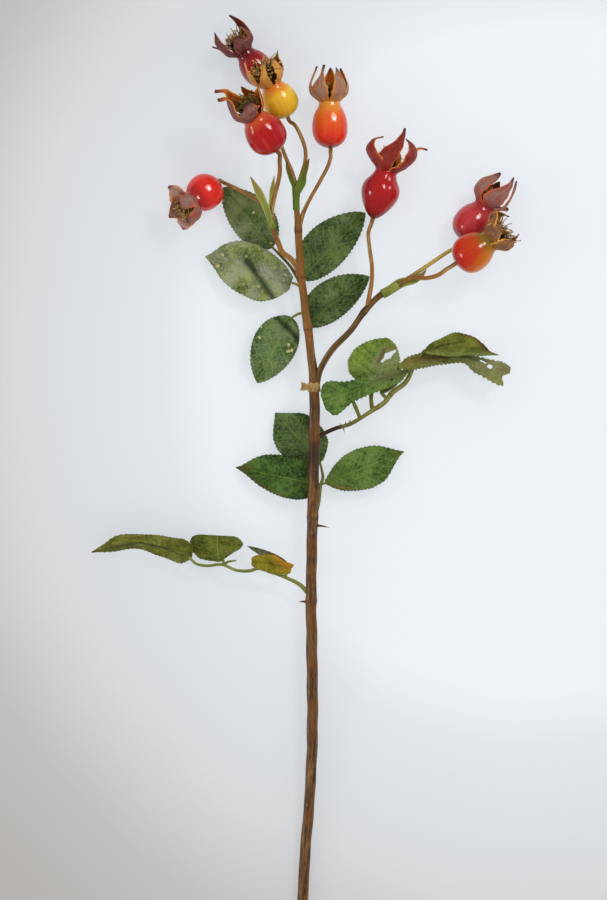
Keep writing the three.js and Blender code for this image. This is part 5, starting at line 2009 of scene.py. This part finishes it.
LEAF_STALKS: dict[str, tuple[list[Point], ...]] = {
    "upper": (
        [
            (4.4, 41, 12, 1.2), (2.6, 56, 9.2, 0.9), (0, 76, 7.4, 0.85), (-2, 88, 6.4, 0.8),
            (-6.5, 97, 3.6, 0.75), (-12, 103.4, 3.2, 0.75), (-17, 108.3, 3.1, 0.6),
        ],
        [(-1.9, 87.4, 6.5, 0.7), (-4, 88.8, 6.7, 0.65), (-7.6, 89.9, 7, 0.5)],
        [(0.2, 74.6, 7.6, 0.75), (-3, 74, 7.4, 0.7), (-7.6, 71.4, 6.6, 0.5)],
        [(-2, 87.9, 6.4, 0.7), (-1.9, 89.4, 6, 0.6), (-0.8, 92.4, 5.6, 0.5)],
        [(1.2, 67, 8, 0.7), (0.7, 67.4, 6, 0.6), (1.6, 69.6, 3.9, 0.5)],
    ),
    "lower": (
        [
            (5.4, -27.6, 10.6, 1.1), (7.25, -19.25, 8.4, 0.9), (7.75, -14.25, 6.8, 0.85),
            (8.25, -11.25, 6, 0.8), (9.25, -8.25, 5, 0.75), (7.6, 0.4, 3.2, 0.55),
        ],
        [(8.2, -11.4, 6, 0.7), (9.2, -11.2, 5.7, 0.65), (12.4, -10.2, 5.3, 0.5)],
        [(8.2, -11.4, 6, 0.7), (7.2, -11.4, 6.4, 0.65), (4, -10.8, 6.8, 0.5)],
    ),
    "right": (
        [
            (5.4, 10.6, 13.2, 1.3), (7.75, 12.75, 13.4, 1.1), (15.25, 16.5, 13.8, 1.05),
            (22.75, 18.75, 14.2, 1), (32.75, 24.75, 14.8, 1.05), (40.25, 29.75, 15, 1.1),
            (43.75, 34.25, 15, 1.2), (50.25, 39.25, 14.8, 1.2), (53, 44, 14, 1.1),
            (54.4, 47.6, 12.6, 0.9),
        ],
        [(27.75, 21.75, 14.5, 1), (26, 26, 15.6, 0.85), (24.3, 30, 16.6, 0.75)],
        [(34, 25.6, 14.8, 0.95), (33.4, 30.8, 12, 0.95), (33.4, 36, 8.7, 0.9)],
        [(41, 31.2, 15, 0.85), (39.6, 33, 14.9, 0.75), (38, 34.6, 14.8, 0.6)],
        [
            (54, 45.6, 12, 0.8), (57, 51, 11.6, 0.7), (59.8, 55.6, 14.4, 0.6),
            (60.4, 54.9, 16.9, 0.5),
        ],
    ),
    "left": (
        [
            (2.2, -66.6, 9.8, 1.2), (-2.25, -61.75, 9.9, 1), (-9.75, -58, 9.9, 0.85),
            (-17.25, -55.25, 9.8, 0.8), (-23.25, -53.6, 9.6, 0.8), (-27.25, -54.75, 9.4, 0.85),
            (-34.25, -54.5, 9.2, 0.8), (-41.25, -51.7, 9, 0.75), (-48.75, -52.25, 9, 0.75),
            (-54, -51.4, 9.2, 0.7), (-58.2, -47.6, 9.6, 0.6),
        ],
        [(-9.4, -58.1, 10, 0.7), (-9, -56, 11, 0.6), (-8, -54, 12, 0.45)],
        [(-9.8, -58, 9.8, 0.7), (-9.4, -54, 9.6, 0.55), (-10, -50, 9.6, 0.45)],
        [(-41, -51.8, 9, 0.8), (-40.6, -50.8, 9.5, 0.7), (-40.8, -48.6, 10, 0.6)],
        [(-41, -51.8, 9, 0.8), (-38, -50.2, 9.6, 0.6), (-34.2, -49.6, 9.8, 0.4)],
    ),
}


# ---- Bracts ----

GREEN_BRACT = PaperFinish(
    "bract_green", (96, 112, 28), (134, 142, 56), (170, 172, 96), (150, 116, 48)
)
DARK_BRACT = PaperFinish("bract_dark", (84, 112, 26), (84, 100, 22), (116, 126, 40), (118, 70, 18))
DRY_STIPULE = PaperFinish(
    "stipule_dry", (122, 92, 46), (168, 134, 78), (196, 172, 116), (128, 88, 46)
)


@dataclass
class Bract:
    """A bract or stipule: a wrap round its stem, and lance-shaped blades."""

    node: str
    slot: str
    finish: PaperFinish
    wrap: list[Point]
    blades: tuple[list[Point], ...]
    hollow: float = 0.35
    loose: float = 0.35  # how far the wrap stands off its stem
    seed: int = 1

    def _wrap(self) -> Skin:
        """The wrap: a thin sleeve, ragged at its upper edge.

        Returns:
            The wrap's skin.
        """
        rng = np.random.default_rng(self.seed)
        rows, sides = 30, 28
        out = smooth_line(self.wrap, rows)
        angle = side_angles(sides)[None]
        outer = out[:, 3:4] + self.loose + 0.08 * np.sin(5 * angle + rng.uniform(0, 6))
        outer = outer + 0.12 * np.linspace(1, 0, rows)[:, None] ** 2
        inner = out[::-1, 3:4] + 0.15 + 0 * angle
        first, second = (np.vstack([way, way[::-1]])[:, None] for way in carried_sides(out[:, :3]))
        ring = np.cos(angle)[..., None] * first + np.sin(angle)[..., None] * second
        lip = (np.abs(np.arange(2 * rows) - rows + 0.5) < 2)[:, None]
        ragged = 0.7 * np.abs(np.sin(2.5 * angle + rng.uniform(0, 6))) * lip
        way = unit(out[-1, :3] - out[0, :3])
        corners = (
            np.vstack([out, out[::-1]])[:, None, :3] + ring * np.vstack([outer, inner])[..., None]
        )
        corners = corners + way * ragged[..., None]
        share = np.concatenate([np.linspace(0, 0.5, rows), np.linspace(0.5, 0, rows)])[:, None]
        places = np.stack(
            [0.3 * np.sin(3 * angle) + 0 * share, share + 0 * angle, 0 * share * angle], -1
        )
        faces = ring_quads(2 * rows, sides)
        last = (2 * rows - 1) * sides
        for k in range(sides):
            beside = (k + 1) % sides
            faces.append((last + k, last + beside, beside, k))
        marks = np.zeros((2 * rows * sides, 3))
        return Skin(corners.reshape(-1, 3), faces, places.reshape(-1, 3), marks, [0] * len(faces))

    def _blade(self, points: list[Point], seed: int) -> Skin:
        """One lance-shaped blade.

        Args:
            points: Its midrib, with a half width for each point.
            seed: Its own waves.

        Returns:
            The blade's skin.
        """
        rng = np.random.default_rng(seed)
        rows, cols = 60, 17
        line = smooth_line(points, rows)
        t, u = blade_grid(rows, cols)
        tangent = unit(np.gradient(line[:, :3], axis=0))
        left = unit(np.stack([-tangent[:, 1], tangent[:, 0], 0 * tangent[:, 0]], 1))
        normal = np.cross(tangent, left)
        half = np.maximum(0.12, line[:, 3:4]) * (1 + 0.06 * np.sin(14 * t + rng.uniform(0, 6)))
        lift = self.hollow * u**2 * half
        lift = lift + 0.18 * np.sin(9 * t + 2 * u + rng.uniform(0, 6)) * np.abs(u)
        lift = lift - 0.18 * np.exp(-((u / 0.15) ** 2))
        middle = line[:, None, :3] + left[:, None] * (u * half)[..., None]
        middle = middle + normal[:, None] * lift[..., None]
        ones = np.ones((rows, cols))
        places = np.stack([u * ones, t * ones, u * half], -1)
        thickness = (0.38 - 0.2 * np.abs(u) ** 3) * ones
        marks, normals = np.zeros((rows, cols, 3)), normal[:, None] * ones[..., None]
        return sheet(middle, normals, thickness, places, marks, slots=(0, 0))

    def build(self) -> bpy.types.Object:
        """The wrap and its blades as one piece.

        Returns:
            The object.
        """
        blades = [self._blade(b, self.seed * 7 + k) for k, b in enumerate(self.blades)]
        name = self.node.replace("bract", "sheath").replace("stipule", "collar")
        piece = Piece(name, self.node, self.slot, (self.finish,), 50)
        return piece.place(joined([self._wrap(), *blades]))


# the three bracts and the dry stipule
BRACTS = [
    Bract(
        "top_bract", "bract", DARK_BRACT,
        [cane_point(-4, 125.6, 1.3), cane_point(-4.1, 131, 1.4), cane_point(-3.9, 137, 2.0)],
        (
            [
                (-2.9, 134.6, 20.2, 1.4), (-1.6, 139, 21, 2.2), (-0.2, 143.6, 21.4, 1.5),
                (1.2, 148, 21.4, 1), (2.4, 151.2, 21.4, 0.2),
            ],
            [
                (-4.6, 135, 20, 0.9), (-6.6, 141, 19.4, 1.1), (-8.4, 145.6, 18.8, 0.8),
                (-9.2, 150, 18.4, 0.2),
            ],
        ),
    ),
    Bract(
        "left_bract", "bract", GREEN_BRACT, [(-16, 116.4, 21.4, 1.2), (-17.2, 121.5, 22, 1.3)],
        (
            [
                (-17.2, 119.6, 23.4, 1.1), (-18.6, 125, 23.8, 1.6), (-22.2, 133, 24.6, 1.9),
                (-24.6, 137.6, 24.6, 1.3), (-27, 142, 24.4, 0.2),
            ],
            [
                (-17, 119.6, 22.6, 0.9), (-16.6, 126, 23.4, 1.3), (-16, 135, 25, 1.3),
                (-15.1, 142.2, 26.4, 0.2),
            ],
        ),
        seed=2,
    ),
    Bract(
        "right_bract", "bract", GREEN_BRACT,
        [(38.8, 83.6, 15.8, 1.5), (42, 85.4, 15.7, 1.5), (46.4, 88, 15.4, 1.4)],
        (
            [
                (42, 86, 14.6, 1.8), (48.8, 89.4, 14.4, 2.4), (54.2, 90.6, 14.4, 1.9),
                (58.4, 93, 14.6, 1.3), (61, 96, 14.8, 0.2),
            ],
        ),
        loose=0.8, seed=3,
    ),
    Bract(
        "stem_stipule", "dry_stipule", DRY_STIPULE,
        [cane_point(4.9, 34.8, 2.75), cane_point(4.8, 39, 2.55)],
        ([(3.4, 37, 16.4, 1.6), (1, 37.2, 15.4, 1.8), (-1.6, 37.6, 14.2, 2.4)],), seed=4,
    ),
]


# ---- The studio ----


@dataclass
class Studio:
    """The table, its soft light, and a camera straight above the sprig."""

    height: float = 2.8  # of the camera above the table, in metres
    seen: float = 0.450  # the length of table in view, at the sprig's middle level
    level: float = 0.015
    centre: tuple[float, float] = (-0.00092, 0.00588)
    sky: float = 0.86  # how bright the sky is where it lights a matt face
    sheen: float = 0.3  # how bright it is in a gloss, but for its two windows
    # the way to each, the cosine of its half width, and its brightness
    windows: tuple[tuple[Point, float, float], ...] = (
        ((0.459, 0.488, 0.742), 0.968, 11.0), ((-0.9, -0.08, 0.43), 0.982, 6.0)
    )

    def _table(self) -> None:
        """A wide flat top with a barely uneven surface, so that it is no bare plane."""
        count, size = 41, 3.0
        ticks = np.linspace(-size, size, count)
        x, y = np.meshgrid(ticks, ticks, indexing="ij")
        far = np.hypot(x, y)
        z = TABLE_Z - 0.002 * smooth_step(far, 0.8, size)
        i, j = np.meshgrid(np.arange(count - 1), np.arange(count - 1), indexing="ij")
        a = (i * count + j).ravel()
        faces = np.stack([a, a + count, a + count + 1, a + 1], 1).tolist()
        corners = np.stack([x, y, z], -1).reshape(-1, 3)
        smooth_object("table_top", corners, faces, [TableFinish()])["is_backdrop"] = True

    def _lamp(self, name: str, spot: Point, size: float, radiance: float) -> None:
        """A square softbox that faces the sprig.

        Args:
            name: The lamp's name.
            spot: Where it hangs.
            size: Its side, in metres.
            radiance: How bright its face is.
        """
        light = bpy.data.lights.new(name, "AREA")
        light.shape, light.size = "SQUARE", size
        light.energy = radiance * math.pi * size * size
        lamp = bpy.data.objects.new(name, light)
        place = np.array(spot)
        lamp.location = place
        way = -place
        tilt = math.atan2(math.hypot(way[0], way[1]), -way[2])
        lamp.rotation_euler = (tilt, 0, math.atan2(way[1], way[0]) - math.pi / 2)
        bpy.context.scene.collection.objects.link(lamp)

    def _sky(self) -> None:
        """An even pale sky; what is glossy mirrors it dimmed, with two bright windows."""
        g = Graph("sky", sky=True)
        way = g.take("Generated", "ShaderNodeTexCoord")
        gloss = g.rays("Glossy")[0]
        mirrored = self.sheen - self.sky
        for spot, wide, bright in self.windows:
            window = g.vector("DOT_PRODUCT", way, spot).step(wide, wide + WINDOW_EDGE)
            mirrored = window * bright + mirrored
        shine = {"Color": SKY_WHITE, "Strength": gloss * mirrored + self.sky}
        sky = g.take(0, "ShaderNodeBackground", {}, shine)
        g.node("ShaderNodeOutputWorld", {}, {"Surface": sky})
        bpy.context.scene.world = g.material

    def build(self) -> None:
        """The table, the lamps, the sky and the camera."""
        scene = bpy.context.scene
        self._table()
        self._lamp("key_softbox", (0.62, 0.66, 1.0), 0.2, 23.0)
        self._lamp("side_softbox", (-1.15, -0.1, 0.55), 0.3, 5.0)
        self._sky()
        scene.view_settings.view_transform = "Standard"
        camera = bpy.data.objects.new("camera", bpy.data.cameras.new("camera"))
        camera.data.sensor_width = sensor = 36.0
        camera.data.lens = sensor * (self.height - self.level) / self.seen
        camera.data.clip_end = 20.0
        camera.location = (*self.centre, self.height)
        scene.collection.objects.link(camera)
        scene.camera = camera


def stems() -> list[Stem]:
    """The cane, its shoots, the hips' stalks and the leaves' stalks.

    Returns:
        The stems.
    """
    by_name = {hip.name: hip for hip in HIPS}
    thorns = (
        Thorn((5.2, -32, cane_height(-32)), (1, 0, 0.15), 7.2, 1.1),
        Thorn((2.4, -70.5, cane_height(-70.5)), (-1, 0.2, 0.1), 5.4, 1.3),
    )
    cane = Stem(
        Piece("cane", "main_stem", "bark", (BARK, CutFinish())), CANE, 1.0, 30,
        (-69.5, -27.6, 10.6, 67, 93, 116), 0.24, 0.04, thorns, cut=True, young=(30.0, 80.0),
    )
    left = Stem(Piece("left_spur", "left_shoot", "twig", (TWIG,)), LEFT_SHOOT, nodes=(122,), seed=2)
    right = Stem(
        Piece("right_spur", "right_shoot", "twig", (SHOOT,)),
        by_name["pink_red"].reach(RIGHT_SHOOT), nodes=(75, 84.5), swelling=0.25, young=(88.0, 98.0),
        seed=3,
    )
    made = [cane, left, right]
    for k, (name, points) in enumerate(STALKS.items()):
        piece = Piece(f"{name}_stalk", f"stalk_{name}", "twig", (TWIG,))
        made.append(
            Stem(
                piece, by_name[name].reach(points), 0.9, 14, swelling=0.0, ridges=0.035, seed=10 + k
            )
        )
    feet = (
        ((18.6, 17.2, 14.2), (-0.4, 1, 0.3)), ((19.4, 17.4, 14.2), (0.2, -1, 0.2)),
        ((20.4, 17.8, 14.3), (0.1, 1, 0.2)), ((22.4, 18.8, 14.6), (0.2, 1, 0.4)),
    )
    prickles = tuple(Thorn(foot, way, 2.8, 0.7) for foot, way in feet)
    for k, (name, limbs) in enumerate(LEAF_STALKS.items()):
        piece = Piece(
            f"{name}_leaf_rachis", f"{name}_leaf_stalk", "green_twig",
            (RACHIS if name == "left" else RACHIS_DARK,),
        )
        made.append(
            Stem(
                piece, limbs[0], 0.9, 14, (27.75, 34) if name == "right" else (), 0.15, 0.05,
                prickles if name == "right" else (), limbs[1:],
                browned=0.24 if name == "right" else 0.0, seed=30 + k,
            )
        )
    return made


def main() -> None:
    """Builds the studio and the sprig's pieces in order, and reports them."""
    logging.basicConfig(level=logging.INFO, format="%(message)s")
    Studio().build()
    for part in [*stems(), *HIPS, *LEAFLETS, *BRACTS]:
        part.build()
    faces = sum(len(o.data.polygons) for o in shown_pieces())
    log.info("faces in all: %d", faces)


if __name__ == "__main__":
    main()
